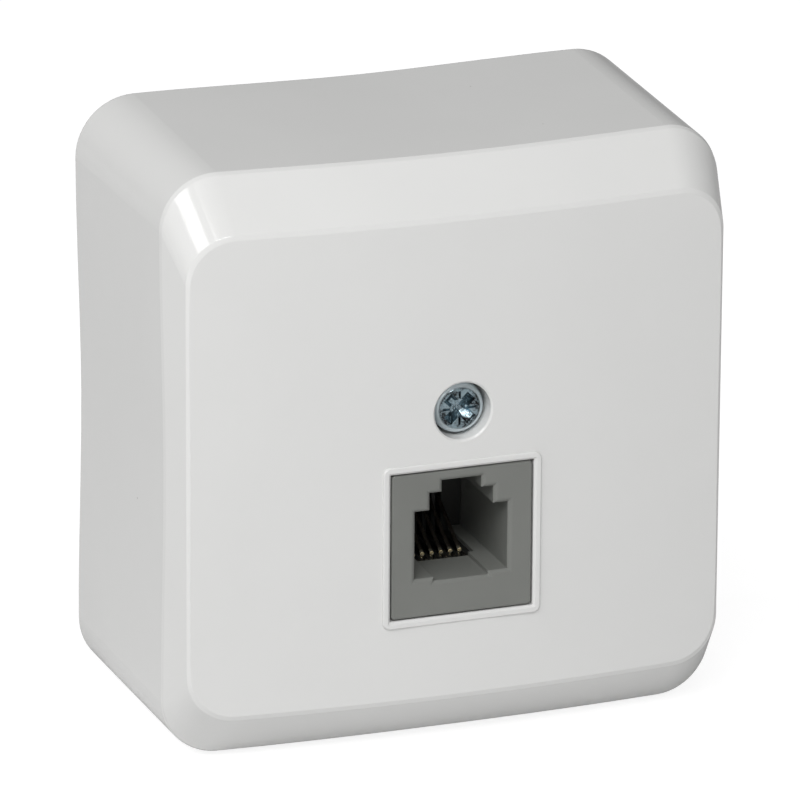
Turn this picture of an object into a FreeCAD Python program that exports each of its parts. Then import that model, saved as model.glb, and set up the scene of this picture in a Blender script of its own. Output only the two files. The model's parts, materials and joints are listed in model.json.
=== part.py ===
"""Surface mount jack box: a wall-mounted telephone outlet with one 6P6C modular jack.

The frame has its origin at the centre of the wall plane, X to the right, Z up and the front facing
-Y. A depth is a distance out from the wall, so it runs along -Y. Sketches on a body's XZ plane
look at the outlet from the front: their X is X, their Y is Z and they pad outwards, along the depth.
"""

import FreeCAD, Part
import math
import os
import Sketcher

from FreeCAD import Placement, Rotation, Vector

DOC = FreeCAD.newDocument("SurfaceMountJackBox")

# ---------------------------------------------------------------------------------------------
# Driving dimensions, in millimetres unless the note says otherwise
# ---------------------------------------------------------------------------------------------
DIMENSIONS = (
    # Outer form of the cover: rim at the wall, crease, front face
    ("rim_half_width", 30.5, "centre to the rim's outermost side, near its corners"),
    ("rim_half_height", 31.6, "centre to the rim's top and bottom, near its corners"),
    ("rim_corner_radius", 6.3, "corner radius of the rim"),
    ("rim_pinch_side", 0.45, "how far the rim draws in at the middle of each side"),
    ("rim_pinch_end", 0.41, "how far the rim draws in at the middle of top and bottom"),
    ("wall_draft", 0.42, "how far the walls draw in from the rim to the crease"),
    ("crease_depth", 26.4, "wall to the crease at the two sides"),
    ("crease_crown", 1.49, "how far the crease stands further out at mid-width"),
    ("face_half_width", 28.9, "centre to the side edges of the front face"),
    ("face_half_height", 25.8, "centre to the top and bottom edges of the front face"),
    ("face_corner_radius", 5.0, "corner radius of the front face"),
    ("face_depth", 31.4, "wall to the face at its side edges"),
    ("face_crown", 1.8, "how far the face stands further out at mid-width"),
    ("face_edge_bevel", 0.3, "bevel along the edge of the front face"),
    ("crease_bevel", 0.3, "bevel along the crease"),
    ("cover_wall", 2.0, "wall thickness of the cover"),
    ("band_set_in", 2.9, "outer to inner side of the top and bottom bands, along the height"),
    ("side_set_in", 2.1, "outer to inner side of the side bands, along the width"),
    # Jack aperture
    ("aperture_gap", 0.15, "clearance between the jack and the aperture, each side"),
    ("land_width", 0.8, "width of the raised land round the aperture"),
    ("land_height", 0.12, "how far the land stands out from the crown of the face"),
    ("land_corner_radius", 0.8, "corner radius of the land"),
    ("land_bevel", 0.1, "bevel round the land"),
    ("aperture_bevel", 0.25, "bevel round the aperture"),
    ("collar_wall", 1.2, "wall of the collar behind the aperture"),
    ("collar_length", 4.0, "length of the collar behind the face wall"),
    # Cover screw and its well
    ("screw_height", 5.14, "centre to the cover screw's axis, upwards"),
    ("well_radius", 3.05, "radius of the screw well"),
    ("well_wall", 1.8, "wall of the tube round the well"),
    ("well_mouth_bevel", 0.2, "bevel of the well's mouth"),
    ("well_floor", 2.0, "thickness of the well's floor"),
    ("head_recess", 1.1, "crown of the face to the top of the screw's head"),
    ("head_radius", 2.75, "radius of the cover screw's head"),
    ("head_height", 2.4, "height of the cover screw's head"),
    ("head_crown", 0.75, "height of the head's rounded part"),
    ("head_flat_radius", 1.75, "radius of the flat on top of the head"),
    ("cross_width", 0.9, "width of the recess's arms at the top"),
    ("cross_reach", 1.65, "centre to the end of the recess's arms at the top"),
    ("cross_depth", 1.35, "depth of the cross recess"),
    ("cross_draft", 9.0, "draft of the recess's walls, in degrees"),
    ("screw_radius", 1.5, "radius of the cover screw's shank"),
    ("screw_length", 12.0, "cover screw, under the head to the tip"),
    ("screw_clearance", 0.25, "clearance between the shank and the cover's hole"),
    ("washer_thickness", 1.0, "thickness of the spring washer"),
    ("washer_fit", 0.08, "radial clearance of the washer on the shank"),
    ("washer_gap", 0.5, "width of the split in the washer"),
    ("washer_lean", 0.45, "how far the split leans to each side of its middle"),
    ("thread_fit", 0.05, "radial clearance between screw and insert"),
    # Base plate
    ("base_gap", 0.4, "clearance between the base plate and the cover, each side"),
    ("base_thickness", 2.4, "thickness of the base plate"),
    ("base_corner_radius", 3.6, "corner radius of the base plate"),
    ("lip_wall", 1.2, "wall of the lip round the base plate"),
    ("lip_height", 2.6, "height of the lip above the plate"),
    ("column_radius", 4.2, "radius of the column for the cover screw"),
    ("gusset_reach", 6.0, "how far the column's gussets reach sideways"),
    ("gusset_height", 13.0, "height of the column's gussets"),
    ("gusset_thickness", 1.2, "thickness of the column's gussets"),
    ("tip_room", 2.0, "free depth behind the cover screw's tip"),
    ("insert_length", 6.0, "length of the brass insert"),
    ("insert_radius", 2.3, "radius of the brass insert"),
    ("insert_fit", 0.02, "radial clearance of the insert in the column"),
    ("fixing_hole_radius", 2.25, "radius of the wall-fixing holes"),
    ("fixing_slot_length", 8.0, "overall length of the lower wall-fixing slots"),
    ("fixing_half_spacing", 20.0, "centre to each wall-fixing hole, sideways"),
    ("fixing_top_edge", 8.79, "base plate's upper edge to the upper wall-fixing holes"),
    ("fixing_slot_edge", 5.29, "base plate's lower edge to the lower wall-fixing slots"),
    ("entry_half_width", 7.0, "half width of the rear cable entry"),
    ("entry_half_height", 5.5, "half height of the rear cable entry"),
    ("entry_height", 17.6, "centre to the middle of the rear cable entry, upwards"),
    ("entry_corner_radius", 3.0, "corner radius of the rear cable entry"),
    ("notch_half_width", 6.5, "half width of the cable notch in the base plate"),
    ("notch_depth", 3.6, "depth of the cable notch into the base plate"),
    ("breakout_half_width", 6.0, "half width of the cover's break-out for a surface cable"),
    ("breakout_height", 8.0, "height of the break-out, out from the wall"),
    ("breakout_skin", 0.7, "thickness left at the break-out"),
    ("spacer_reach", 1.6, "how far the cover's spacer ribs stand in from its walls"),
    ("spacer_thickness", 1.2, "thickness of the cover's spacer ribs"),
    ("spacer_place", 16.0, "centre to each spacer rib, along its wall"),
    ("spacer_gap", 0.3, "clearance between the spacer ribs and the base's lip"),
    # Circuit board
    ("board_back", 13.6, "wall to the back of the circuit board"),
    ("board_thickness", 1.6, "thickness of the circuit board"),
    ("board_half_width", 21.4, "half width of the circuit board"),
    ("board_top", -0.1, "height of the board's upper edge"),
    ("board_bottom", -22.2, "height of the board's lower edge"),
    ("board_shoulder", -17.8, "height at which the board narrows to its foot"),
    ("board_foot_half_width", 13.6, "half width of the board's foot"),
    ("post_half_width", 2.3, "half width of the board posts"),
    ("post_place", 9.8, "centre to each board post, sideways"),
    ("post_screw_height", -19.4, "height of the lower, screwed posts"),
    ("post_rest_height", -2.9, "height of the upper posts, which the board rests on"),
    ("board_screw_radius", 1.0, "radius of the board screws' shank"),
    ("board_screw_length", 7.0, "board screw, under the head to the tip"),
    ("board_screw_head_radius", 1.9, "radius of the board screws' head"),
    ("board_screw_head_height", 1.4, "height of the board screws' head"),
    ("board_screw_slot_width", 0.6, "width of the cross in the board screws' head"),
    ("board_screw_slot_reach", 1.15, "centre to the end of the cross's arms"),
    ("board_screw_slot_depth", 0.8, "depth of the cross in the board screws' head"),
    ("board_screw_hole_gap", 0.25, "clearance of the board screws in the board"),
    ("pilot_fit", 0.02, "radial clearance of the board screws in the posts"),
    # Jack
    ("jack_half_width", 7.62, "half width of the jack's housing"),
    ("jack_top", -1.05, "height of the housing's top"),
    ("jack_bottom", -16.65, "height of the housing's bottom"),
    ("jack_corner_radius", 0.4, "corner radius of the housing"),
    ("jack_recess", 0.1, "how far the jack's face lies behind the crown of the face"),
    ("plug_half_width", 5.05, "half width of the plug opening"),
    ("plug_ceiling", -5.24, "height of the plug opening's main ceiling"),
    ("plug_ledge", -12.55, "height of the ledges beside the contact channel"),
    ("channel_floor", -12.95, "height of the contact channel's floor"),
    ("channel_half_width", 2.94, "half width of the contact channel"),
    ("latch_step_half_width", 3.45, "half width of the latch opening's lower step"),
    ("latch_step_height", -3.37, "height of the latch opening's lower step"),
    ("latch_top_half_width", 2.15, "half width of the latch opening's upper step"),
    ("latch_top_height", -2.12, "height of the latch opening's upper step"),
    ("latch_shoulder", 2.0, "thickness of the shoulders that hold the latch"),
    ("plug_depth", 14.0, "depth of the plug cavity"),
    ("lip_bevel", 0.3, "bevel round the plug opening"),
    ("tunnel_half_width", 3.6, "half width of the tunnel for the comb's foot"),
    ("tunnel_floor", -15.2, "height of the tunnel's floor"),
    ("tunnel_mouth", 6.1, "jack's face to the front end of the tunnel"),
    ("insert_gap", 0.05, "clearance of the comb in the housing"),
    ("jack_peg_half_width", 0.8, "half width of the housing's two board pegs"),
    ("peg_fit", 0.06, "clearance of the housing's pegs in the board, each side"),
    ("jack_peg_place", 6.4, "centre to each board peg, sideways"),
    ("jack_peg_height", -8.85, "height of the board pegs"),
    ("jack_peg_length", 2.4, "length of the board pegs behind the housing"),
    # Contact wires
    ("contact_pitch", 1.016, "distance between neighbouring contacts"),
    ("contact_width", 0.44, "width of the contact wire"),
    ("contact_thickness", 0.36, "thickness of the contact wire"),
    ("contact_room", 0.1, "clearance of the contact wires in the board's slots"),
    ("contact_run_height", -13.9, "height of the wire's lower run"),
    ("contact_bend_radius", 0.6, "radius of the wire's bend, to its centreline"),
    ("contact_slope", 28.0, "rise of the spring arm, in degrees"),
    ("contact_arm_end", 1.0, "how far the arm's tip reaches into the comb"),
    ("contact_tail", 1.2, "how far the wire stands out behind the board"),
    ("contact_nose_gap", 0.5, "tunnel's front end to the wire's centreline"),
    ("comb_slot_width", 0.6, "width of the comb's slots"),
    ("comb_slot_floor", -14.25, "height of the slots' floor"),
    ("comb_slot_top", -7.6, "height of the slots' top in the comb's back wall"),
    ("comb_slot_depth", 2.2, "depth of the slots in the comb's back wall"),
    ("comb_run_top", -13.55, "height of the passages' top in the comb's back wall"),
    # Terminals: rising-clamp blocks, three ways each
    ("pole_place", 16.0, "centre to the terminal screws, sideways"),
    ("pole_pitch", 5.0, "distance between neighbouring terminals"),
    ("pole_height", -8.85, "height of the middle terminal of each block"),
    ("block_inner", 4.1, "screw axis to the block's inner side"),
    ("block_outer", 4.1, "screw axis to the block's outer side"),
    ("block_height", 10.6, "height of the block above the board"),
    ("block_end_wall", 0.2, "extra wall at each end of the block"),
    ("block_slope", 1.6, "bevel along the block's outer top edge"),
    ("cage_room", 0.25, "clearance of the cage in the block"),
    ("cage_half_length", 2.0, "half length of the cage, along the wire"),
    ("cage_half_width", 1.65, "half width of the cage, across the wire"),
    ("cage_bottom", 0.9, "board to the open cage's underside"),
    ("cage_height", 4.6, "height of the cage"),
    ("cage_floor", 0.6, "thickness of the cage's floor"),
    ("cage_roof", 0.9, "thickness of the cage's threaded roof"),
    ("cage_side", 0.5, "thickness of the cage's sides"),
    ("cage_travel", 1.8, "rise of the cage from open to clamped"),
    ("cage_fit", 0.05, "radial clearance between terminal screw and cage"),
    ("head_ledge", 0.8, "thickness of the ledge that the screw's head sits on"),
    ("head_room", 0.3, "clearance round the terminal screw's head"),
    ("terminal_screw_radius", 1.0, "radius of the terminal screws' shank"),
    ("terminal_head_radius", 1.75, "radius of the terminal screws' head"),
    ("terminal_head_height", 1.5, "height of the terminal screws' head"),
    ("terminal_slot_width", 0.5, "width of the slot in the terminal screws"),
    ("terminal_slot_depth", 0.8, "depth of the slot in the terminal screws"),
    ("terminal_hole_gap", 0.2, "clearance of the shank in the ledge"),
    ("bar_height", 3.9, "board to the underside of the current bar"),
    ("bar_thickness", 0.5, "thickness of the current bar"),
    ("bar_half_width", 0.9, "half width of the current bar"),
    ("bar_tip_gap", 0.05, "current bar to the screw's tip"),
    ("bar_outer", 2.7, "screw axis to the bar's outer end"),
    ("leg_place", 3.2, "screw axis to the outer side of the bar's leg"),
    ("leg_half_width", 0.35, "half width of the leg below the board's face"),
    ("leg_room", 0.1, "clearance round the leg in the block"),
    ("leg_length", 3.0, "length of the leg below the board's face"),
    ("wire_hole_half_width", 1.5, "half width of the wire entry"),
    ("wire_hole_bottom", 1.4, "board to the wire entry's lower edge"),
    ("wire_hole_bevel", 0.4, "bevel round the wire entry"),
)

SHEET_NAME = "Sizes"


class Size:
    """A length that carries its number and the sheet expression that yields it."""

    def __init__(self, number, text):
        self.number = float(number)
        self.text = text

    @staticmethod
    def of(other):
        return other if isinstance(other, Size) else Size(other, repr(float(other)))

    def joined(self, sign, other, number):
        return Size(number, f"({self.text} {sign} {Size.of(other).text})")

    def __add__(self, other):
        return self.joined("+", other, self.number + Size.of(other).number)

    def __radd__(self, other):
        return Size.of(other) + self

    def __sub__(self, other):
        return self.joined("-", other, self.number - Size.of(other).number)

    def __rsub__(self, other):
        return Size.of(other) - self

    def __mul__(self, other):
        return self.joined("*", other, self.number * Size.of(other).number)

    def __rmul__(self, other):
        return Size.of(other) * self

    def __truediv__(self, other):
        return self.joined("/", other, self.number / Size.of(other).number)

    def __neg__(self):
        return Size(-self.number, f"(-1 * {self.text})")


def sine(angle):
    """Sine of an angle in degrees."""
    return Size(math.sin(math.radians(angle.number)), f"sin({angle.text} * 1 deg)")


def cosine(angle):
    """Cosine of an angle in degrees."""
    return Size(math.cos(math.radians(angle.number)), f"cos({angle.text} * 1 deg)")


def tangent(angle):
    """Tangent of an angle in degrees."""
    return Size(math.tan(math.radians(angle.number)), f"tan({angle.text} * 1 deg)")


class SizeBook:
    """The driving dimensions by name, filled from the sheet's own cells."""


def fill_sheet():
    """Write every dimension to the sheet and return them by name."""
    sheet = DOC.addObject("Spreadsheet::Sheet", SHEET_NAME)
    book = SizeBook()
    for row, (alias, value, note) in enumerate(DIMENSIONS, start=1):
        sheet.set(f"A{row}", alias)
        sheet.set(f"B{row}", str(value))
        sheet.set(f"C{row}", note)
        sheet.setAlias(f"B{row}", alias)
        setattr(book, alias, Size(value, f"{SHEET_NAME}.{alias}"))
    DOC.recompute()
    return book


S = fill_sheet()

# Places that several pieces share
FACE_CROWN_DEPTH = S.face_depth + S.face_crown
LAND_DEPTH = FACE_CROWN_DEPTH + S.land_height
JACK_FACE_DEPTH = FACE_CROWN_DEPTH - S.jack_recess
CREASE_HALF_WIDTH = S.rim_half_width - S.wall_draft
CREASE_HALF_HEIGHT = S.rim_half_height - S.wall_draft
CREASE_CORNER_RADIUS = S.rim_corner_radius - S.wall_draft
CAVITY_HALF_WIDTH = S.rim_half_width - S.rim_pinch_side - S.cover_wall
CAVITY_HALF_HEIGHT = S.rim_half_height - S.rim_pinch_end - S.cover_wall
BOARD_FRONT = S.board_back + S.board_thickness
HEAD_SEAT = FACE_CROWN_DEPTH - S.head_recess - S.head_height
WASHER_SEAT = HEAD_SEAT - S.washer_thickness
COLUMN_TOP = WASHER_SEAT - S.well_floor
SCREW_TIP = HEAD_SEAT - S.screw_length
LIP_TOP = S.base_thickness + S.lip_height
BASE_HALF_WIDTH = CAVITY_HALF_WIDTH - S.base_gap
BASE_HALF_HEIGHT = CAVITY_HALF_HEIGHT - S.base_gap
CAVITY_END = JACK_FACE_DEPTH - S.plug_depth
TUNNEL_END = JACK_FACE_DEPTH - S.tunnel_mouth
CAGE_ROOM_TOP = S.cage_bottom + S.cage_height + S.cage_travel + S.cage_room
TERMINAL_SEAT = CAGE_ROOM_TOP + S.head_ledge
CONTACT_COUNT = 6
# Straight steps that each wire's bend is made of
BEND_STEPS = 4
POLES_PER_BLOCK = 3


# ---------------------------------------------------------------------------------------------
# Sketch helpers: every corner, centre and radius is a constraint bound to the sheet
# ---------------------------------------------------------------------------------------------
def bind(sketch, kind, parts, size):
    """Add one dimensional constraint and tie it to the sheet."""
    size = Size.of(size)
    index = sketch.addConstraint(Sketcher.Constraint(kind, *parts, size.number))
    sketch.setExpression(f"Constraints[{index}]", size.text)


def pin_point(sketch, geometry, point, across, up):
    """Place one point of a sketch from its origin."""
    bind(sketch, "DistanceX", (-1, 1, geometry, point), across)
    bind(sketch, "DistanceY", (-1, 1, geometry, point), up)


def draw_polygon(sketch, corners):
    """A closed outline through the corners."""
    points = [Vector(Size.of(x).number, Size.of(y).number, 0) for x, y in corners]
    count = len(points)
    lines = [
        sketch.addGeometry(Part.LineSegment(points[i], points[(i + 1) % count]))
        for i in range(count)
    ]
    for i, line in enumerate(lines):
        sketch.addConstraint(
            Sketcher.Constraint("Coincident", line, 2, lines[(i + 1) % count], 1)
        )
    for line, (across, up) in zip(lines, corners):
        pin_point(sketch, line, 1, across, up)


def draw_rectangle(sketch, left, right, bottom, top):
    """An upright rectangle."""
    draw_polygon(sketch, [(left, bottom), (right, bottom), (right, top), (left, top)])


def draw_block(sketch, across, up, half_width, half_height):
    """An upright rectangle about a point."""
    draw_rectangle(
        sketch, across - half_width, across + half_width, up - half_height, up + half_height
    )


def draw_circle(sketch, across, up, radius):
    """A circle about a point."""
    across, up, radius = Size.of(across), Size.of(up), Size.of(radius)
    centre = Vector(across.number, up.number, 0)
    index = sketch.addGeometry(Part.Circle(centre, Vector(0, 0, 1), radius.number))
    pin_point(sketch, index, 3, across, up)
    bind(sketch, "Radius", (index,), radius)


def draw_rounded_rectangle(sketch, left, right, bottom, top, radius):
    """An upright rectangle whose corners are tangent arcs."""
    left, right, bottom, top, radius = map(Size.of, (left, right, bottom, top, radius))
    x0, x1, y0, y1, r = (n.number for n in (left, right, bottom, top, radius))
    normal = Vector(0, 0, 1)
    quarter = math.pi / 2
    sides = (
        (Vector(x0 + r, y0, 0), Vector(x1 - r, y0, 0), Vector(x1 - r, y0 + r, 0), -quarter),
        (Vector(x1, y0 + r, 0), Vector(x1, y1 - r, 0), Vector(x1 - r, y1 - r, 0), 0.0),
        (Vector(x1 - r, y1, 0), Vector(x0 + r, y1, 0), Vector(x0 + r, y1 - r, 0), quarter),
        (Vector(x0, y1 - r, 0), Vector(x0, y0 + r, 0), Vector(x0 + r, y0 + r, 0), 2 * quarter),
    )
    lines = []
    arcs = []
    for start, end, centre, angle in sides:
        lines.append(sketch.addGeometry(Part.LineSegment(start, end)))
        circle = Part.Circle(centre, normal, r)
        arcs.append(sketch.addGeometry(Part.ArcOfCircle(circle, angle, angle + quarter)))
    for i in range(4):
        follower = lines[(i + 1) % 4]
        sketch.addConstraint(Sketcher.Constraint("Tangent", lines[i], 2, arcs[i], 1))
        sketch.addConstraint(Sketcher.Constraint("Tangent", arcs[i], 2, follower, 1))
        level = "Horizontal" if i % 2 == 0 else "Vertical"
        sketch.addConstraint(Sketcher.Constraint(level, lines[i]))
    for arc in arcs[1:]:
        sketch.addConstraint(Sketcher.Constraint("Equal", arcs[0], arc))
    bind(sketch, "Radius", (arcs[0],), radius)
    bind(sketch, "DistanceY", (-1, 1, lines[0], 1), bottom)
    bind(sketch, "DistanceX", (-1, 1, lines[1], 1), right)
    bind(sketch, "DistanceY", (-1, 1, lines[2], 1), top)
    bind(sketch, "DistanceX", (-1, 1, lines[3], 1), left)


def draw_level_slot(sketch, across, up, length, radius):
    """A level slot about a point, with half-round ends."""
    across, up, radius = Size.of(across), Size.of(up), Size.of(radius)
    half_run = Size.of(length) / 2 - radius
    x, y, run, r = across.number, up.number, half_run.number, radius.number
    normal = Vector(0, 0, 1)
    quarter = math.pi / 2
    left_end = Part.Circle(Vector(x - run, y, 0), normal, r)
    right_end = Part.Circle(Vector(x + run, y, 0), normal, r)
    left = sketch.addGeometry(Part.ArcOfCircle(left_end, quarter, 3 * quarter))
    right = sketch.addGeometry(Part.ArcOfCircle(right_end, -quarter, quarter))
    bottom = sketch.addGeometry(
        Part.LineSegment(Vector(x - run, y - r, 0), Vector(x + run, y - r, 0))
    )
    top = sketch.addGeometry(Part.LineSegment(Vector(x + run, y + r, 0), Vector(x - run, y + r, 0)))
    for first, second in ((left, bottom), (bottom, right), (right, top), (top, left)):
        sketch.addConstraint(Sketcher.Constraint("Tangent", first, 2, second, 1))
    sketch.addConstraint(Sketcher.Constraint("Horizontal", bottom))
    pin_point(sketch, left, 3, across - half_run, up)
    bind(sketch, "DistanceX", (-1, 1, right, 3), across + half_run)
    bind(sketch, "Radius", (left,), radius)


def draw_crowned_block(sketch, half_width, edge, far, radius):
    """A block in front of an arc that spans the width and bulges away from the origin."""
    half_width, edge, far, radius = map(Size.of, (half_width, edge, far, radius))
    x, y0, y1, r = half_width.number, edge.number, far.number, radius.number
    half_angle = math.asin(x / r)
    centre = Vector(0, y0 + r * math.cos(half_angle), 0)
    down = -math.pi / 2
    circle = Part.Circle(centre, Vector(0, 0, 1), r)
    arc = sketch.addGeometry(Part.ArcOfCircle(circle, down - half_angle, down + half_angle))
    corners = [Vector(x, y0, 0), Vector(x, y1, 0), Vector(-x, y1, 0), Vector(-x, y0, 0)]
    lines = [
        sketch.addGeometry(Part.LineSegment(first, second))
        for first, second in zip(corners, corners[1:])
    ]
    chain = [(arc, 2, lines[0]), (lines[0], 2, lines[1]), (lines[1], 2, lines[2])]
    for first, end, second in chain:
        sketch.addConstraint(Sketcher.Constraint("Coincident", first, end, second, 1))
    sketch.addConstraint(Sketcher.Constraint("Coincident", lines[2], 2, arc, 1))
    pin_point(sketch, lines[0], 1, half_width, edge)
    pin_point(sketch, lines[1], 1, half_width, far)
    pin_point(sketch, lines[2], 1, -half_width, far)
    pin_point(sketch, lines[2], 2, -half_width, edge)
    bind(sketch, "Radius", (arc,), radius)


def cross_corners(reach, width):
    """The twelve corners of an upright cross."""
    half = width / 2
    return [
        (-half, -reach), (half, -reach), (half, -half), (reach, -half),
        (reach, half), (half, half), (half, reach), (-half, reach),
        (-half, half), (-reach, half), (-reach, -half), (-half, -half),
    ]


# ---------------------------------------------------------------------------------------------
# Body helpers
# ---------------------------------------------------------------------------------------------
def new_body(label, base=None):
    """A body of its own, empty or grown from another solid."""
    body = DOC.addObject("PartDesign::Body", label)
    body.Label = label
    if base is not None:
        body.BaseFeature = base
        DOC.recompute()
    return body


def new_sketch(body, name, plane="XZ_Plane", offset=0.0):
    """A sketch on one of the body's planes, moved along the plane's normal."""
    sketch = body.newObject("Sketcher::SketchObject", name)
    planes = {feature.Role: feature for feature in body.Origin.OriginFeatures}
    sketch.AttachmentSupport = [(planes[plane], "")]
    sketch.MapMode = "FlatFace"
    offset = Size.of(offset)
    sketch.AttachmentOffset = Placement(Vector(0, 0, offset.number), Rotation())
    sketch.setExpression("AttachmentOffset.Base.z", offset.text)
    return sketch


def body_volume(body):
    """Volume of the body so far, nothing for an empty one."""
    shape = body.Shape
    return 0.0 if shape.isNull() else shape.Volume


def grow(body, feature):
    """Recompute and make sure that the feature added to the body."""
    before = body_volume(body)
    DOC.recompute()
    body.Tip = feature
    DOC.recompute()
    if body_volume(body) <= before:
        raise RuntimeError(f"{feature.Label} adds nothing to {body.Label}")
    return feature


def carve(body, feature):
    """Recompute and make sure that the feature cut the body."""
    before = body_volume(body)
    DOC.recompute()
    body.Tip = feature
    DOC.recompute()
    if body_volume(body) >= before:
        raise RuntimeError(f"{feature.Label} cuts nothing from {body.Label}")
    return feature


def pad(body, sketch, length, symmetric=False):
    """Pad a sketch along its normal, or to both sides of its plane."""
    feature = body.newObject("PartDesign::Pad", f"{sketch.Name}_pad")
    feature.Profile = sketch
    feature.SideType = "Symmetric" if symmetric else "One side"
    length = Size.of(length)
    feature.Length = length.number
    feature.setExpression("Length", length.text)
    return grow(body, feature)


def pocket(body, sketch, length, forward=False, symmetric=False):
    """Cut a sketch back against its normal, forward along it, or to both sides."""
    feature = body.newObject("PartDesign::Pocket", f"{sketch.Name}_pocket")
    feature.Profile = sketch
    feature.SideType = "Symmetric" if symmetric else "One side"
    feature.Reversed = forward
    length = Size.of(length)
    feature.Length = length.number
    feature.setExpression("Length", length.text)
    return carve(body, feature)


def revolve(body, sketch):
    """Turn a sketch a full turn about its own upright axis."""
    feature = body.newObject("PartDesign::Revolution", f"{sketch.Name}_turned")
    feature.Profile = sketch
    feature.ReferenceAxis = (sketch, ["V_Axis"])
    feature.Angle = 360.0
    return grow(body, feature)


def groove(body, sketch):
    """Cut a sketch turned a full turn about its own upright axis."""
    feature = body.newObject("PartDesign::Groove", f"{sketch.Name}_turned")
    feature.Profile = sketch
    feature.ReferenceAxis = (sketch, ["V_Axis"])
    feature.Angle = 360.0
    return carve(body, feature)


def edges_where(shape, test):
    """Names of the shape's edges whose ends and middle all pass a test."""
    names = []
    for index, edge in enumerate(shape.Edges, start=1):
        middle = edge.valueAt((edge.FirstParameter + edge.LastParameter) / 2)
        points = [vertex.Point for vertex in edge.Vertexes] + [middle]
        if all(test(point) for point in points):
            names.append(f"Edge{index}")
    return names


def dress(body, kind, size, test):
    """Fillet or chamfer the body's edges that pass a test."""
    source = body.Tip
    names = edges_where(source.Shape, test)
    if not names:
        raise RuntimeError(f"no edge of {body.Label} to dress")
    feature = body.newObject(f"PartDesign::{kind}", f"{source.Name}_{kind.lower()}")
    feature.Base = (source, names)
    size = Size.of(size)
    target = "Radius" if kind == "Fillet" else "Size"
    setattr(feature, target, size.number)
    feature.setExpression(target, size.text)
    DOC.recompute()
    body.Tip = feature
    DOC.recompute()
    return feature


def place(body, across=0.0, depth=0.0, height=0.0, turned=False):
    """Place a body, optionally turned half round about the depth axis."""
    across, back, height = Size.of(across), -Size.of(depth), Size.of(height)
    turn = Rotation(Vector(0, 1, 0), 180.0 if turned else 0.0)
    body.Placement = Placement(Vector(across.number, back.number, height.number), turn)
    body.setExpression("Placement.Base.x", across.text)
    body.setExpression("Placement.Base.y", back.text)
    body.setExpression("Placement.Base.z", height.text)
    return body


# How far round an opening its edges are looked for
PICK_ROOM = 0.1


def near(value, target, room=1e-4):
    """Whether a value is at a target."""
    return abs(value - target) < room


# ---------------------------------------------------------------------------------------------
# Domed form of the cover. Its crease and face edge are curves in space, so its walls are ruled
# between wires and not between flat sketches.
# ---------------------------------------------------------------------------------------------
class Crown:
    """An upright cylinder that crowns over the width of the outlet."""

    def __init__(self, half_width, edge_depth, rise):
        self.radius = (half_width ** 2 + rise ** 2) / (2 * rise)
        self.centre_depth = edge_depth + rise - self.radius

    def depth(self, across):
        return self.centre_depth + math.sqrt(self.radius ** 2 - across ** 2)

    def point(self, across, height):
        return Vector(across, -self.depth(across), height)


class Level:
    """A flat place that outlines can lie on, as they lie on a crown."""

    def __init__(self, depth):
        self.depth = depth

    def point(self, across, height):
        return Vector(across, -self.depth, height)


# The band is drawn from well outside the crease to in front of the face, as shares of its width,
# so that the walls and the face cut it cleanly.
BAND_START = -0.8
BAND_END = 1.35


def crowned_corner(across, height, radius, start, crown):
    """A quarter turn laid on a crown, from a start angle."""
    turns = start, start + math.pi / 4, start + math.pi / 2
    points = [
        crown.point(across + radius * math.cos(turn), height + radius * math.sin(turn))
        for turn in turns
    ]
    return Part.Arc(*points).toShape()


def crowned_outline(half_width, half_height, corner, crown):
    """Edges of a rounded rectangle on a crown, anticlockwise from the bottom edge."""
    in_x, in_z = half_width - corner, half_height - corner
    edges = []
    for turn, (x_sign, z_sign) in enumerate(((1, -1), (1, 1), (-1, 1), (-1, -1))):
        if turn % 2 == 0:
            level = z_sign * half_height
            start, middle, end = [
                crown.point(x, level) for x in (-x_sign * in_x, 0.0, x_sign * in_x)
            ]
            straight = isinstance(crown, Level)
            side = Part.LineSegment(start, end) if straight else Part.Arc(start, middle, end)
            edges.append(side.toShape())
        else:
            side = x_sign * half_width
            ends = [crown.point(side, z) for z in (-z_sign * in_z, z_sign * in_z)]
            edges.append(Part.LineSegment(*ends).toShape())
        start = (turn - 1) * math.pi / 2
        edges.append(crowned_corner(x_sign * in_x, z_sign * in_z, corner, start, crown))
    return edges


def crown_block(crown, half_width, half_height):
    """Everything behind a crown, as one block."""
    ends = [crown.point(x, -half_height) for x in (-half_width, 0.0, half_width)]
    back = Vector(half_width, 0, -half_height), Vector(-half_width, 0, -half_height)
    outline = Part.Wire([
        Part.Arc(*ends).toShape(),
        Part.LineSegment(ends[2], back[0]).toShape(),
        Part.LineSegment(back[0], back[1]).toShape(),
        Part.LineSegment(back[1], ends[0]).toShape(),
    ])
    return Part.Face(outline).extrude(Vector(0, 0, 2 * half_height))


def face_crown():
    """Crown of the front face."""
    return Crown(S.face_half_width.number, S.face_depth.number, S.face_crown.number)


def crease_crown():
    """Crown of the crease."""
    return Crown(CREASE_HALF_WIDTH.number, S.crease_depth.number, S.crease_crown.number)


def pinched_side(start, end, pinch):
    """A side of the rim that draws in at its middle and leaves both corners smoothly."""
    middle = (start + end) * 0.5
    inwards = Vector(0, 0, 0) - middle
    middle = middle + inwards.normalize() * pinch
    run = end - start
    side = Part.BSplineCurve()
    side.interpolate(Points=[start, middle, end], InitialTangent=run, FinalTangent=run)
    return side.toShape()


def sewn_solid(faces):
    """One solid from faces that share their edges."""
    shell = Part.makeShell(faces)
    shell.sewShape()
    return Part.makeSolid(shell)


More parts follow.
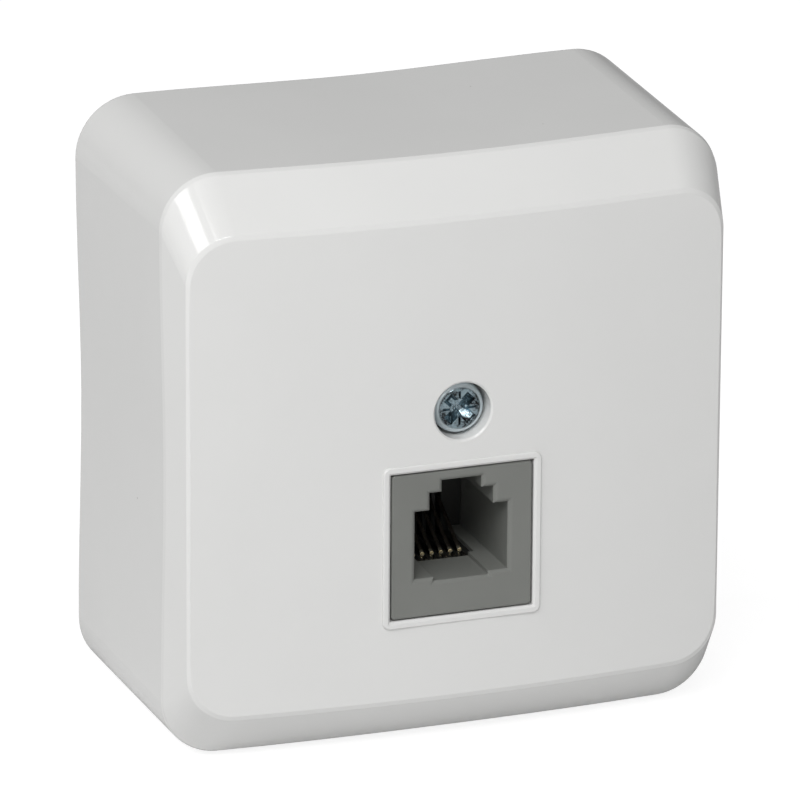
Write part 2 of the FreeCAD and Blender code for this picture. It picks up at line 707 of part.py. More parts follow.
def drafted_walls(reach):
    """The four side walls with conical corners, up to a flat end."""
    corner = S.rim_corner_radius.number
    slim = corner - S.wall_draft.number * reach / S.crease_depth.number
    in_x = S.rim_half_width.number - corner
    in_z = S.rim_half_height.number - corner
    rim_edges, top_edges, faces = [], [], []
    for turn, (x_sign, z_sign) in enumerate(((1, -1), (1, 1), (-1, 1), (-1, -1))):
        start = (turn - 1) * math.pi / 2
        centre = Vector(x_sign * in_x, 0, z_sign * in_z)
        out = Vector(math.cos(start), 0, math.sin(start))
        run = Vector(-out.z, 0, out.x)
        previous = centre - run * 2 * (in_x if turn % 2 == 0 else in_z)
        pinch = (S.rim_pinch_end if turn % 2 == 0 else S.rim_pinch_side).number
        lift = Vector(0, -reach, 0)
        low = previous + out * corner, centre + out * corner
        high = previous + out * slim + lift, centre + out * slim + lift
        rim_edges.append(pinched_side(low[0], low[1], pinch))
        top_edges.append(Part.LineSegment(*high).toShape())
        faces.append(Part.makeRuledSurface(rim_edges[-1], top_edges[-1]))
        slant = Part.LineSegment(low[1], high[1]).toShape()
        faces.append(slant.revolve(centre, Vector(0, -1, 0), 90))
        for edges, radius, shift in ((rim_edges, corner, Vector()), (top_edges, slim, lift)):
            turns = start, start + math.pi / 4, start + math.pi / 2
            arc = [
                centre + shift + Vector(radius * math.cos(a), 0, radius * math.sin(a))
                for a in turns
            ]
            edges.append(Part.Arc(*arc).toShape())
    faces += [Part.Face(Part.Wire(rim_edges)), Part.Face(Part.Wire(top_edges))]
    return sewn_solid(faces)


def band_hood():
    """The sloping band all round, drawn on past the crease and past the face."""
    crease = [
        CREASE_HALF_WIDTH.number,
        CREASE_HALF_HEIGHT.number,
        CREASE_CORNER_RADIUS.number,
        S.crease_depth.number,
        S.crease_crown.number,
    ]
    face = [
        S.face_half_width.number,
        S.face_half_height.number,
        S.face_corner_radius.number,
        S.face_depth.number,
        S.face_crown.number,
    ]
    outlines = []
    for share in (BAND_START, BAND_END):
        sizes = [first + share * (second - first) for first, second in zip(crease, face)]
        half_width, half_height, corner, depth, rise = sizes
        if not outlines:
            outlines.append(crowned_outline(half_width, half_height, corner, Level(0.0)))
        outlines.append(
            crowned_outline(half_width, half_height, corner, Crown(half_width, depth, rise))
        )
    faces = [
        Part.makeRuledSurface(first, second)
        for lower, upper in zip(outlines, outlines[1:])
        for first, second in zip(lower, upper)
    ]
    bottom, corner_1, _, corner_2, top, corner_3, _, corner_4 = outlines[-1]
    for first, second in ((bottom, top), (corner_1, corner_2), (corner_3, corner_4)):
        faces.append(Part.makeRuledSurface(first, second))
    faces.append(Part.Face(Part.Wire(outlines[0])))
    return sewn_solid(faces)


def domed_form():
    """The cover's outer form as one solid."""
    reach = FACE_CROWN_DEPTH.number + S.rim_corner_radius.number
    room = S.rim_half_width.number + S.rim_corner_radius.number
    form = drafted_walls(reach).common(band_hood())
    return form.common(crown_block(face_crown(), room, room)).Solids[0]


def solid_feature(label, shape):
    """A document object that holds a shape made with Part's own functions."""
    feature = DOC.addObject("Part::Feature", label)
    feature.Shape = shape
    return feature


def on_crown(crown, room):
    """A test for points that lie on a crown."""
    return lambda point: near(-point.y, crown.depth(point.x), room)


# ---------------------------------------------------------------------------------------------
# Cover
# ---------------------------------------------------------------------------------------------
# How far an edge may lie from its crown and still belong to it
EXACT_ROOM = 0.02
CREASE_ROOM = 0.1


def make_cover():
    """The moulded cover: domed shell, screw well, aperture with its land, ribs, break-out."""
    outer = solid_feature("cover_outer_form", domed_form())
    bevelled = DOC.addObject("Part::Chamfer", "cover_bevelled_form")
    bevelled.Base = outer
    face_edge = on_crown(face_crown(), EXACT_ROOM)
    crease = on_crown(crease_crown(), CREASE_ROOM)
    bevelled.Edges = [
        (int(name.removeprefix("Edge")), size.number, size.number)
        for test, size in ((face_edge, S.face_edge_bevel), (crease, S.crease_bevel))
        for name in edges_where(outer.Shape, test)
    ]
    inner = make_cover_cavity()
    shell = DOC.addObject("Part::Cut", "cover_shell")
    shell.Base = bevelled
    shell.Tool = inner
    DOC.recompute()

    body = new_body("cover", shell)
    inside_face = FACE_CROWN_DEPTH - S.cover_wall
    embed = FACE_CROWN_DEPTH - S.cover_wall / 2

    tube = new_sketch(body, "cover_well_tube", offset=COLUMN_TOP)
    draw_circle(tube, 0, S.screw_height, S.well_radius + S.well_wall)
    pad(body, tube, embed - COLUMN_TOP)

    half_width = S.jack_half_width + S.aperture_gap
    bottom = S.jack_bottom - S.aperture_gap
    top = S.jack_top + S.aperture_gap
    collar = new_sketch(body, "cover_collar", offset=inside_face - S.collar_length)
    draw_rectangle(
        collar,
        -half_width - S.collar_wall,
        half_width + S.collar_wall,
        bottom - S.collar_wall,
        top + S.collar_wall,
    )
    pad(body, collar, embed - inside_face + S.collar_length)

    land = new_sketch(body, "cover_land", offset=embed)
    draw_rounded_rectangle(
        land,
        -half_width - S.land_width,
        half_width + S.land_width,
        bottom - S.land_width,
        top + S.land_width,
        S.land_corner_radius,
    )
    pad(body, land, LAND_DEPTH - embed)
    dress(body, "Chamfer", S.land_bevel, lambda p: near(-p.y, LAND_DEPTH.number))

    make_cover_ribs(body)

    aperture = new_sketch(body, "cover_aperture", offset=LAND_DEPTH)
    draw_rectangle(aperture, -half_width, half_width, bottom, top)
    pocket(body, aperture, LAND_DEPTH - COLUMN_TOP)
    inner_edge = half_width.number + S.land_width.number / 2
    dress(
        body,
        "Chamfer",
        S.aperture_bevel,
        lambda p: near(-p.y, LAND_DEPTH.number)
        and abs(p.x) < inner_edge
        and bottom.number - PICK_ROOM < p.z < top.number + PICK_ROOM,
    )

    well = new_sketch(body, "cover_well", offset=LAND_DEPTH)
    draw_circle(well, 0, S.screw_height, S.well_radius)
    pocket(body, well, LAND_DEPTH - WASHER_SEAT)
    hole = new_sketch(body, "cover_screw_hole", offset=WASHER_SEAT)
    draw_circle(hole, 0, S.screw_height, S.screw_radius + S.screw_clearance)
    pocket(body, hole, WASHER_SEAT - COLUMN_TOP)
    mouth = new_sketch(body, "cover_well_mouth", plane="XY_Plane", offset=S.screw_height)
    wide = S.well_radius + S.well_mouth_bevel
    draw_polygon(mouth, [
        (0, -FACE_CROWN_DEPTH + S.well_mouth_bevel),
        (S.well_radius, -FACE_CROWN_DEPTH + S.well_mouth_bevel),
        (wide + S.well_mouth_bevel, -FACE_CROWN_DEPTH - S.well_mouth_bevel),
        (0, -FACE_CROWN_DEPTH - S.well_mouth_bevel),
    ])
    groove(body, mouth)

    breakout = new_sketch(body, "cover_breakout")
    outer_side = -S.rim_half_height + S.rim_pinch_end + S.breakout_skin
    draw_rectangle(
        breakout,
        -S.breakout_half_width,
        S.breakout_half_width,
        outer_side,
        outer_side + S.cover_wall,
    )
    pocket(body, breakout, S.breakout_height, forward=True)
    return body


def make_cover_cavity():
    """The room inside the cover: straight walls, sloping bands and a crowned end."""
    body = new_body("cover_cavity")
    outline = new_sketch(body, "cavity_outline")
    draw_rounded_rectangle(
        outline,
        -CAVITY_HALF_WIDTH,
        CAVITY_HALF_WIDTH,
        -CAVITY_HALF_HEIGHT,
        CAVITY_HALF_HEIGHT,
        S.rim_corner_radius - S.cover_wall,
    )
    pad(body, outline, FACE_CROWN_DEPTH)
    far = FACE_CROWN_DEPTH + S.cover_wall
    slopes = (
        ("cavity_end_bands", "YZ_Plane", CREASE_HALF_HEIGHT, S.face_half_height, S.band_set_in),
        ("cavity_side_bands", "XY_Plane", CREASE_HALF_WIDTH, S.face_half_width, S.side_set_in),
    )
    for name, plane, crease, face, set_in in slopes:
        sketch = new_sketch(body, name, plane=plane)
        lean = (crease - face) / (S.face_depth - S.crease_depth)
        near_place = crease - set_in + lean * S.cover_wall
        far_place = face - set_in - lean * (far - S.face_depth)
        for side in (-1, 1):
            corners = [
                (near_place, S.crease_depth - S.cover_wall),
                (far_place, far),
                (crease, far),
                (crease, S.crease_depth - S.cover_wall),
            ]
            points = [(side * place, -depth) for place, depth in corners]
            if plane == "YZ_Plane":
                points = [(depth, place) for place, depth in points]
            draw_polygon(sketch, points)
        pocket(body, sketch, 2 * S.rim_half_width, symmetric=True)
    crown = new_sketch(body, "cavity_crown", plane="XY_Plane")
    edge = -S.face_depth + S.cover_wall
    rise = S.face_crown
    radius = (S.face_half_width * S.face_half_width + rise * rise) / (2 * rise)
    draw_crowned_block(crown, S.face_half_width, edge, -far, radius)
    pocket(body, crown, 2 * S.rim_half_width, symmetric=True)
    return body


def make_cover_ribs(body):
    """Short ribs on the side walls that stand on the base plate's lip."""
    start = LIP_TOP + S.spacer_gap
    inner_x = CAVITY_HALF_WIDTH - S.spacer_reach
    inner_z = CAVITY_HALF_HEIGHT - S.spacer_reach
    outer_x = CREASE_HALF_WIDTH - S.cover_wall / 2
    outer_z = CREASE_HALF_HEIGHT - S.cover_wall / 2
    half = S.spacer_thickness / 2
    ribs = new_sketch(body, "cover_spacer_ribs", offset=start)
    for across in (S.spacer_place, -S.spacer_place):
        draw_rectangle(ribs, across - half, across + half, inner_z, outer_z)
        draw_rectangle(ribs, across - half, across + half, -outer_z, -inner_z)
        draw_rectangle(ribs, inner_x, outer_x, across - half, across + half)
        draw_rectangle(ribs, -outer_x, -inner_x, across - half, across + half)
    pad(body, ribs, S.crease_depth - S.cover_wall - start)


def make_cover_screw():
    """Pan head screw with a cross recess, turned about its axis, tip towards the wall."""
    body = new_body("cover_screw")
    profile = new_sketch(body, "cover_screw_profile", plane="XY_Plane")
    rim = S.head_height - S.head_crown
    draw_polygon(profile, [
        (0, S.screw_length),
        (0, -S.head_height),
        (S.head_flat_radius, -S.head_height),
        (S.head_radius, -rim),
        (S.head_radius, 0),
        (S.screw_radius, 0),
        (S.screw_radius, S.screw_length),
    ])
    revolve(body, profile)
    top = new_sketch(body, "cover_screw_cross", offset=S.head_height)
    draw_polygon(top, cross_corners(S.cross_reach, S.cross_width))
    recess = pocket(body, top, S.cross_depth)
    recess.TaperAngle = -S.cross_draft.number
    recess.setExpression("TaperAngle", (-S.cross_draft).text)
    DOC.recompute()
    return place(body, depth=HEAD_SEAT, height=S.screw_height)


def make_cover_screw_washer():
    """Spring washer: a flat ring with a leaning split."""
    body = new_body("cover_screw_washer")
    ring = new_sketch(body, "cover_washer_ring")
    draw_circle(ring, 0, 0, S.head_radius)
    draw_circle(ring, 0, 0, S.screw_radius + S.washer_fit)
    pad(body, ring, S.washer_thickness)
    split = new_sketch(body, "cover_washer_split", plane="XY_Plane")
    half = S.washer_gap / 2
    draw_polygon(split, [
        (-half - S.washer_lean, 0),
        (half - S.washer_lean, 0),
        (half + S.washer_lean, -S.washer_thickness),
        (-half + S.washer_lean, -S.washer_thickness),
    ])
    pocket(body, split, S.head_radius * 2, forward=True)
    return place(body, depth=WASHER_SEAT, height=S.screw_height)


def make_screw_insert():
    """Threaded brass insert, pressed into the column's top."""
    body = new_body("screw_insert")
    ring = new_sketch(body, "screw_insert_ring")
    draw_circle(ring, 0, 0, S.insert_radius)
    draw_circle(ring, 0, 0, S.screw_radius + S.thread_fit)
    pad(body, ring, S.insert_length)
    return place(body, depth=COLUMN_TOP - S.insert_length, height=S.screw_height)


# ---------------------------------------------------------------------------------------------
# Base plate
# ---------------------------------------------------------------------------------------------
def make_base_plate():
    """Wall plate with lip, screw column, board posts, fixing holes and cable entries."""
    body = new_body("base_plate")
    plate = new_sketch(body, "base_outline")
    draw_rounded_rectangle(
        plate, -BASE_HALF_WIDTH, BASE_HALF_WIDTH, -BASE_HALF_HEIGHT, BASE_HALF_HEIGHT,
        S.base_corner_radius,
    )
    pad(body, plate, S.base_thickness)
    lip = new_sketch(body, "base_lip", offset=S.base_thickness)
    draw_rounded_rectangle(
        lip, -BASE_HALF_WIDTH, BASE_HALF_WIDTH, -BASE_HALF_HEIGHT, BASE_HALF_HEIGHT,
        S.base_corner_radius,
    )
    draw_rounded_rectangle(
        lip,
        -BASE_HALF_WIDTH + S.lip_wall,
        BASE_HALF_WIDTH - S.lip_wall,
        -BASE_HALF_HEIGHT + S.lip_wall,
        BASE_HALF_HEIGHT - S.lip_wall,
        S.base_corner_radius - S.lip_wall,
    )
    pad(body, lip, S.lip_height)

    column = new_sketch(body, "base_column", offset=S.base_thickness)
    draw_circle(column, 0, S.screw_height, S.column_radius)
    pad(body, column, COLUMN_TOP - S.base_thickness)
    gusset = new_sketch(body, "base_gussets", plane="XY_Plane", offset=S.screw_height)
    inner = S.column_radius / 2
    reach = S.column_radius + S.gusset_reach
    low = -S.base_thickness / 2
    high = -S.base_thickness - S.gusset_height
    draw_polygon(gusset, [(inner, low), (reach, low), (reach, -S.base_thickness), (inner, high)])
    draw_polygon(gusset, [(-inner, low), (-inner, high), (-reach, -S.base_thickness), (-reach, low)])
    pad(body, gusset, S.gusset_thickness, symmetric=True)

    posts = new_sketch(body, "base_board_posts", offset=S.base_thickness)
    pilots = new_sketch(body, "base_pilot_holes", offset=S.board_back)
    for across in (-S.post_place, S.post_place):
        for height in (S.post_screw_height, S.post_rest_height):
            draw_block(posts, across, height, S.post_half_width, S.post_half_width)
        draw_circle(pilots, across, S.post_screw_height, S.board_screw_radius + S.pilot_fit)
    pad(body, posts, S.board_back - S.base_thickness)
    pocket(body, pilots, S.board_screw_length - S.board_thickness + S.tip_room)

    bore = new_sketch(body, "base_insert_bore", offset=COLUMN_TOP)
    draw_circle(bore, 0, S.screw_height, S.insert_radius + S.insert_fit)
    pocket(body, bore, COLUMN_TOP - SCREW_TIP + S.tip_room)

    openings = new_sketch(body, "base_openings", offset=LIP_TOP)
    for across in (-S.fixing_half_spacing, S.fixing_half_spacing):
        draw_circle(
            openings, across, BASE_HALF_HEIGHT - S.fixing_top_edge, S.fixing_hole_radius
        )
        draw_level_slot(
            openings,
            across,
            -BASE_HALF_HEIGHT + S.fixing_slot_edge,
            S.fixing_slot_length,
            S.fixing_hole_radius,
        )
    draw_rounded_rectangle(
        openings,
        -S.entry_half_width,
        S.entry_half_width,
        S.entry_height - S.entry_half_height,
        S.entry_height + S.entry_half_height,
        S.entry_corner_radius,
    )
    draw_rectangle(
        openings,
        -S.notch_half_width,
        S.notch_half_width,
        -BASE_HALF_HEIGHT - S.base_gap,
        -BASE_HALF_HEIGHT + S.notch_depth,
    )
    pocket(body, openings, LIP_TOP)
    return body


# ---------------------------------------------------------------------------------------------
# Circuit board and its screws
# ---------------------------------------------------------------------------------------------
def pole_places():
    """Across and height of each terminal, left block first, downwards."""
    places = []
    for side in (-1, 1):
        for step in range(POLES_PER_BLOCK):
            drop = (1 - step) * S.pole_pitch
            places.append((side, side * S.pole_place, S.pole_height + drop))
    return places


def contact_across(index):
    """Distance of a contact from the middle of the jack."""
    return (index - (CONTACT_COUNT - 1) / 2) * S.contact_pitch


def make_circuit_board():
    """The board, with holes for pegs, screws, contact tails and terminal legs."""
    body = new_body("circuit_board")
    outline = new_sketch(body, "board_outline", offset=S.board_back)
    draw_polygon(outline, [
        (-S.board_foot_half_width, S.board_bottom),
        (S.board_foot_half_width, S.board_bottom),
        (S.board_foot_half_width, S.board_shoulder),
        (S.board_half_width, S.board_shoulder),
        (S.board_half_width, S.board_top),
        (-S.board_half_width, S.board_top),
        (-S.board_half_width, S.board_shoulder),
        (-S.board_foot_half_width, S.board_shoulder),
    ])
    pad(body, outline, S.board_thickness)
    holes = new_sketch(body, "board_holes", offset=BOARD_FRONT)
    for across in (-S.post_place, S.post_place):
        screw_hole = S.board_screw_radius + S.board_screw_hole_gap
        draw_circle(holes, across, S.post_screw_height, screw_hole)
    for across in (-S.jack_peg_place, S.jack_peg_place):
        half_peg = S.jack_peg_half_width + S.peg_fit
        draw_block(holes, across, S.jack_peg_height, half_peg, half_peg)
    for index in range(CONTACT_COUNT):
        draw_block(
            holes,
            contact_across(index),
            S.contact_run_height,
            S.contact_width / 2 + S.contact_room,
            S.contact_thickness / 2 + S.contact_room,
        )
    for side, across, height in pole_places():
        leg = across - side * (S.leg_place - S.bar_thickness / 2)
        half_thick = S.bar_thickness / 2 + S.leg_room
        draw_block(holes, leg, height, half_thick, S.leg_half_width + S.leg_room)
    pocket(body, holes, S.board_thickness)
    return body


def make_board_screw(label, side):
    """Self-tapping board screw with a cross in its head."""
    body = new_body(label)
    profile = new_sketch(body, f"{label}_profile", plane="XY_Plane")
    draw_polygon(profile, [
        (0, S.board_screw_length),
        (0, -S.board_screw_head_height),
        (S.board_screw_head_radius, -S.board_screw_head_height),
        (S.board_screw_head_radius, 0),
        (S.board_screw_radius, 0),
        (S.board_screw_radius, S.board_screw_length),
    ])
    revolve(body, profile)
    cross = new_sketch(body, f"{label}_cross", offset=S.board_screw_head_height)
    draw_polygon(cross, cross_corners(S.board_screw_slot_reach, S.board_screw_slot_width))
    pocket(body, cross, S.board_screw_slot_depth)
    return place(body, across=side * S.post_place, depth=BOARD_FRONT, height=S.post_screw_height)


# ---------------------------------------------------------------------------------------------
# Jack: housing, comb and contact wires
# ---------------------------------------------------------------------------------------------
def make_jack_housing():
    """Housing with the stepped plug opening, open behind for the comb."""
    body = new_body("jack_housing")
    block = new_sketch(body, "jack_block", offset=BOARD_FRONT)
    draw_rounded_rectangle(
        block, -S.jack_half_width, S.jack_half_width, S.jack_bottom, S.jack_top,
        S.jack_corner_radius,
    )
    pad(body, block, JACK_FACE_DEPTH - BOARD_FRONT)

    opening = new_sketch(body, "jack_plug_opening", offset=JACK_FACE_DEPTH)
    right = [
        (S.channel_half_width, S.channel_floor),
        (S.channel_half_width, S.plug_ledge),
        (S.plug_half_width, S.plug_ledge),
        (S.plug_half_width, S.plug_ceiling),
        (S.latch_step_half_width, S.plug_ceiling),
        (S.latch_step_half_width, S.latch_step_height),
        (S.latch_top_half_width, S.latch_step_height),
        (S.latch_top_half_width, S.latch_top_height),
    ]
    left = [(-across, height) for across, height in reversed(right)]
    draw_polygon(opening, right + left)
    pocket(body, opening, S.plug_depth)
    bevel_plane = JACK_FACE_DEPTH.number
    dress(
        body,
        "Chamfer",
        S.lip_bevel,
        lambda p: near(-p.y, bevel_plane)
        and abs(p.x) < S.plug_half_width.number + PICK_ROOM
        and S.channel_floor.number - PICK_ROOM < p.z < S.latch_top_height.number + PICK_ROOM,
    )

    latch = new_sketch(body, "jack_latch_room", offset=JACK_FACE_DEPTH - S.latch_shoulder)
    draw_rectangle(
        latch,
        -S.latch_step_half_width,
        S.latch_step_half_width,
        S.plug_ceiling,
        S.latch_top_height,
    )
    pocket(body, latch, S.plug_depth - S.latch_shoulder)

    rear = new_sketch(body, "jack_rear_opening", offset=CAVITY_END)
    draw_rectangle(
        rear, -S.plug_half_width, S.plug_half_width, S.channel_floor, S.plug_ceiling
    )
    pocket(body, rear, CAVITY_END - BOARD_FRONT)
    tunnel = new_sketch(body, "jack_comb_tunnel", offset=TUNNEL_END)
    draw_rectangle(
        tunnel, -S.tunnel_half_width, S.tunnel_half_width, S.tunnel_floor, S.plug_ledge
    )
    pocket(body, tunnel, TUNNEL_END - BOARD_FRONT)

    pegs = new_sketch(body, "jack_board_pegs", offset=BOARD_FRONT - S.jack_peg_length)
    for across in (-S.jack_peg_place, S.jack_peg_place):
        draw_block(
            pegs, across, S.jack_peg_height, S.jack_peg_half_width, S.jack_peg_half_width
        )
    pad(body, pegs, S.jack_peg_length)
    return body


def make_jack_insert():
    """Comb that closes the housing's back and carries the contact wires."""
    body = new_body("jack_insert")
    wall = new_sketch(body, "jack_insert_wall", offset=BOARD_FRONT)
    half_width = S.plug_half_width - S.insert_gap
    half_foot = S.tunnel_half_width - S.insert_gap
    foot_bottom = S.tunnel_floor + S.insert_gap
    shoulder = S.channel_floor + S.insert_gap
    wall_top = S.plug_ceiling - S.insert_gap
    draw_polygon(wall, [
        (-half_foot, foot_bottom),
        (half_foot, foot_bottom),
        (half_foot, shoulder),
        (half_width, shoulder),
        (half_width, wall_top),
        (-half_width, wall_top),
        (-half_width, shoulder),
        (-half_foot, shoulder),
    ])
    pad(body, wall, CAVITY_END - BOARD_FRONT)
    foot = new_sketch(body, "jack_insert_foot", offset=BOARD_FRONT)
    draw_rectangle(foot, -half_foot, half_foot, foot_bottom, S.channel_floor)
    pad(body, foot, TUNNEL_END - S.insert_gap - BOARD_FRONT)

    slots = new_sketch(body, "jack_insert_slots", plane="YZ_Plane", offset=contact_across(0))
    front = -TUNNEL_END - S.insert_gap
    face = -CAVITY_END
    floor_top = S.channel_floor + S.comb_slot_width
    draw_polygon(slots, [
        (front, floor_top),
        (front, S.comb_slot_floor),
        (-BOARD_FRONT + S.insert_gap, S.comb_slot_floor),
        (-BOARD_FRONT + S.insert_gap, S.comb_run_top),
        (face + S.comb_slot_depth, S.comb_run_top),
        (face + S.comb_slot_depth, S.comb_slot_top),
        (face - S.insert_gap, S.comb_slot_top),
        (face - S.insert_gap, floor_top),
    ])
    first = pocket(body, slots, S.comb_slot_width, symmetric=True)
    row = body.newObject("PartDesign::LinearPattern", "jack_insert_slot_row")
    row.Originals = [first]
    axes = {feature.Role: feature for feature in body.Origin.OriginFeatures}
    row.Direction = (axes["X_Axis"], [""])
    row.Occurrences = CONTACT_COUNT
    length = (CONTACT_COUNT - 1) * S.contact_pitch
    row.Length = length.number
    row.setExpression("Length", length.text)
    carve(body, row)
    return body


def bend_outline(centre, radius):
    """Points round the wire's bend, from the end of its lower run to the start of its arm."""
    points = []
    for step in range(BEND_STEPS + 1):
        turn = 270 - (180 - S.contact_slope) * step / BEND_STEPS
        points.append((centre[0] + radius * cosine(turn), centre[1] + radius * sine(turn)))
    return points


def make_contact_wire(index):
    """One flat spring wire: tail, lower run, bend at the front, arm that rises to the comb."""
    label = f"contact_wire_{index + 1}"
    body = new_body(label)
    outline = new_sketch(body, f"{label}_outline", plane="YZ_Plane")
    half_thick = S.contact_thickness / 2
    bend = S.contact_bend_radius
    tail_place = -S.board_back + S.contact_tail
    centre = (-TUNNEL_END + S.contact_nose_gap + bend, S.contact_run_height + bend)
    outside = bend_outline(centre, bend + half_thick)
    inside = bend_outline(centre, bend - half_thick)
    arm_start = centre[0] - bend * sine(S.contact_slope)
    arm_run = -CAVITY_END + S.contact_arm_end - arm_start
    arm_rise = arm_run * tangent(S.contact_slope)
    tips = [(side[-1][0] + arm_run, side[-1][1] + arm_rise) for side in (outside, inside)]
    draw_polygon(outline, [
        (tail_place, S.contact_run_height - half_thick),
        *outside,
        *tips,
        *reversed(inside),
        (tail_place, S.contact_run_height + half_thick),
    ])
    pad(body, outline, S.contact_width, symmetric=True)
    return place(body, across=contact_across(index))


# ---------------------------------------------------------------------------------------------
# Terminals. Each piece is drawn about its screw's axis, with X outwards to the wire entry and
# the depth counted from the board's front, and is then placed; the left block is turned round.
# ---------------------------------------------------------------------------------------------
def place_at_pole(body, side, across, height):
    """Put a terminal's piece at its pole, turned round on the left block."""
    return place(body, across, BOARD_FRONT, height, turned=side < 0)


def make_terminal_block(label, side):
    """Three-way housing with cage rooms, head wells and wire entries."""
    body = new_body(label)
    half_length = S.pole_pitch * POLES_PER_BLOCK / 2 + S.block_end_wall
    block = new_sketch(body, f"{label}_outline")
    draw_rectangle(block, -S.block_inner, S.block_outer, -half_length, half_length)
    pad(body, block, S.block_height)
    outer, height = S.block_outer.number, S.block_height.number
    dress(
        body,
        "Chamfer",
        S.block_slope,
        lambda p: near(-p.y, height) and near(p.x, outer),
    )
    rooms = new_sketch(body, f"{label}_cage_rooms")
    wells = new_sketch(body, f"{label}_head_wells", offset=S.block_height)
    shanks = new_sketch(body, f"{label}_shank_holes", offset=TERMINAL_SEAT)
    entries = new_sketch(body, f"{label}_wire_entries", plane="YZ_Plane", offset=S.block_outer)
    legs = new_sketch(body, f"{label}_leg_slots")
    for step in range(POLES_PER_BLOCK):
        middle = (1 - step) * S.pole_pitch
        half_long = S.cage_half_length + S.cage_room
        half_wide = S.cage_half_width + S.cage_room
        draw_block(rooms, 0, middle, half_long, half_wide)
        half_well = S.terminal_head_radius + S.head_room
        draw_block(wells, 0, middle, half_well, half_well)
        half_hole = S.terminal_screw_radius + S.terminal_hole_gap
        draw_block(shanks, 0, middle, half_hole, half_hole)
        draw_rectangle(
            entries,
            -S.bar_height - S.bar_thickness - S.bar_tip_gap,
            -S.wire_hole_bottom,
            middle - S.wire_hole_half_width,
            middle + S.wire_hole_half_width,
        )
        half_bar = S.bar_half_width + S.leg_room
        draw_rectangle(
            legs,
            -S.leg_place - S.leg_room,
            -half_long + S.leg_room,
            middle - half_bar,
            middle + half_bar,
        )
    pocket(body, rooms, CAGE_ROOM_TOP, forward=True)
    pocket(body, wells, S.block_height - TERMINAL_SEAT)
    pocket(body, shanks, S.head_ledge)
    pocket(body, entries, S.block_outer - S.cage_half_length)
    pocket(body, legs, S.bar_height + S.bar_thickness + S.leg_room, forward=True)
    dress(
        body,
        "Chamfer",
        S.wire_hole_bevel,
        lambda p: near(p.x, outer)
        and S.wire_hole_bottom.number - PICK_ROOM < -p.y
        and -p.y < S.bar_height.number + S.bar_thickness.number + PICK_ROOM,
    )
    return place_at_pole(body, side, side * S.pole_place, S.pole_height)


def make_terminal_screw(label, side, across, height):
    """Slotted terminal screw whose tip bears on the current bar."""
    body = new_body(label)
    profile = new_sketch(body, f"{label}_profile", plane="XY_Plane")
    tip = -S.bar_height - S.bar_thickness - S.bar_tip_gap
    head_top = TERMINAL_SEAT + S.terminal_head_height
    draw_polygon(profile, [
        (0, tip),
        (0, -head_top),
        (S.terminal_head_radius, -head_top),
        (S.terminal_head_radius, -TERMINAL_SEAT),
        (S.terminal_screw_radius, -TERMINAL_SEAT),
        (S.terminal_screw_radius, tip),
    ])
    revolve(body, profile)
    slot = new_sketch(body, f"{label}_slot", offset=head_top)
    half = S.terminal_slot_width / 2
    draw_rectangle(slot, -S.terminal_head_radius, S.terminal_head_radius, -half, half)
    pocket(body, slot, S.terminal_slot_depth)
    return place_at_pole(body, side, across, height)


def make_clamp_cage(label, side, across, height):
    """Box clamp with a threaded roof, open along the wire."""
    body = new_body(label)
    block = new_sketch(body, f"{label}_block", offset=S.cage_bottom)
    draw_rectangle(
        block, -S.cage_half_length, S.cage_half_length, -S.cage_half_width, S.cage_half_width
    )
    pad(body, block, S.cage_height)
    window = new_sketch(body, f"{label}_window", plane="YZ_Plane")
    half = S.cage_half_width - S.cage_side
    draw_rectangle(
        window,
        -S.cage_bottom - S.cage_height + S.cage_roof,
        -S.cage_bottom - S.cage_floor,
        -half,
        half,
    )
    pocket(body, window, S.cage_half_length * 2, symmetric=True)
    thread = new_sketch(body, f"{label}_thread", offset=S.cage_bottom + S.cage_height)
    draw_circle(thread, 0, 0, S.terminal_screw_radius + S.cage_fit)
    pocket(body, thread, S.cage_roof)
    return place_at_pole(body, side, across, height)


def make_terminal_pin(label, side, across, height):
    """Current bar through the cage, bent down to a leg that passes the board."""
    body = new_body(label)
    bar = new_sketch(body, f"{label}_bar", plane="XY_Plane")
    top = -S.bar_height - S.bar_thickness
    draw_polygon(bar, [
        (-S.leg_place, top),
        (-S.leg_place, 0),
        (-S.leg_place + S.bar_thickness, 0),
        (-S.leg_place + S.bar_thickness, -S.bar_height),
        (S.bar_outer, -S.bar_height),
        (S.bar_outer, top),
    ])
    pad(body, bar, S.bar_half_width * 2, symmetric=True)
    leg = new_sketch(body, f"{label}_leg", plane="XY_Plane")
    draw_rectangle(leg, -S.leg_place, -S.leg_place + S.bar_thickness, 0, S.leg_length)
    pad(body, leg, S.leg_half_width * 2, symmetric=True)
    return place_at_pole(body, side, across, height)


# ---------------------------------------------------------------------------------------------
# Build, check and write
# ---------------------------------------------------------------------------------------------
def build_parts():
    """Every piece of the outlet."""
    parts = [
        make_cover(),
        make_cover_screw(),
        make_cover_screw_washer(),
        make_screw_insert(),
        make_base_plate(),
        make_circuit_board(),
        make_board_screw("board_screw_left", -1),
        make_board_screw("board_screw_right", 1),
        make_jack_housing(),
        make_jack_insert(),
        make_terminal_block("terminal_block_left", -1),
        make_terminal_block("terminal_block_right", 1),
    ]
    parts += [make_contact_wire(index) for index in range(CONTACT_COUNT)]
    for number, (side, across, height) in enumerate(pole_places(), start=1):
        parts.append(make_terminal_screw(f"terminal_screw_{number}", side, across, height))
        parts.append(make_clamp_cage(f"clamp_cage_{number}", side, across, height))
        parts.append(make_terminal_pin(f"terminal_pin_{number}", side, across, height))
    return parts


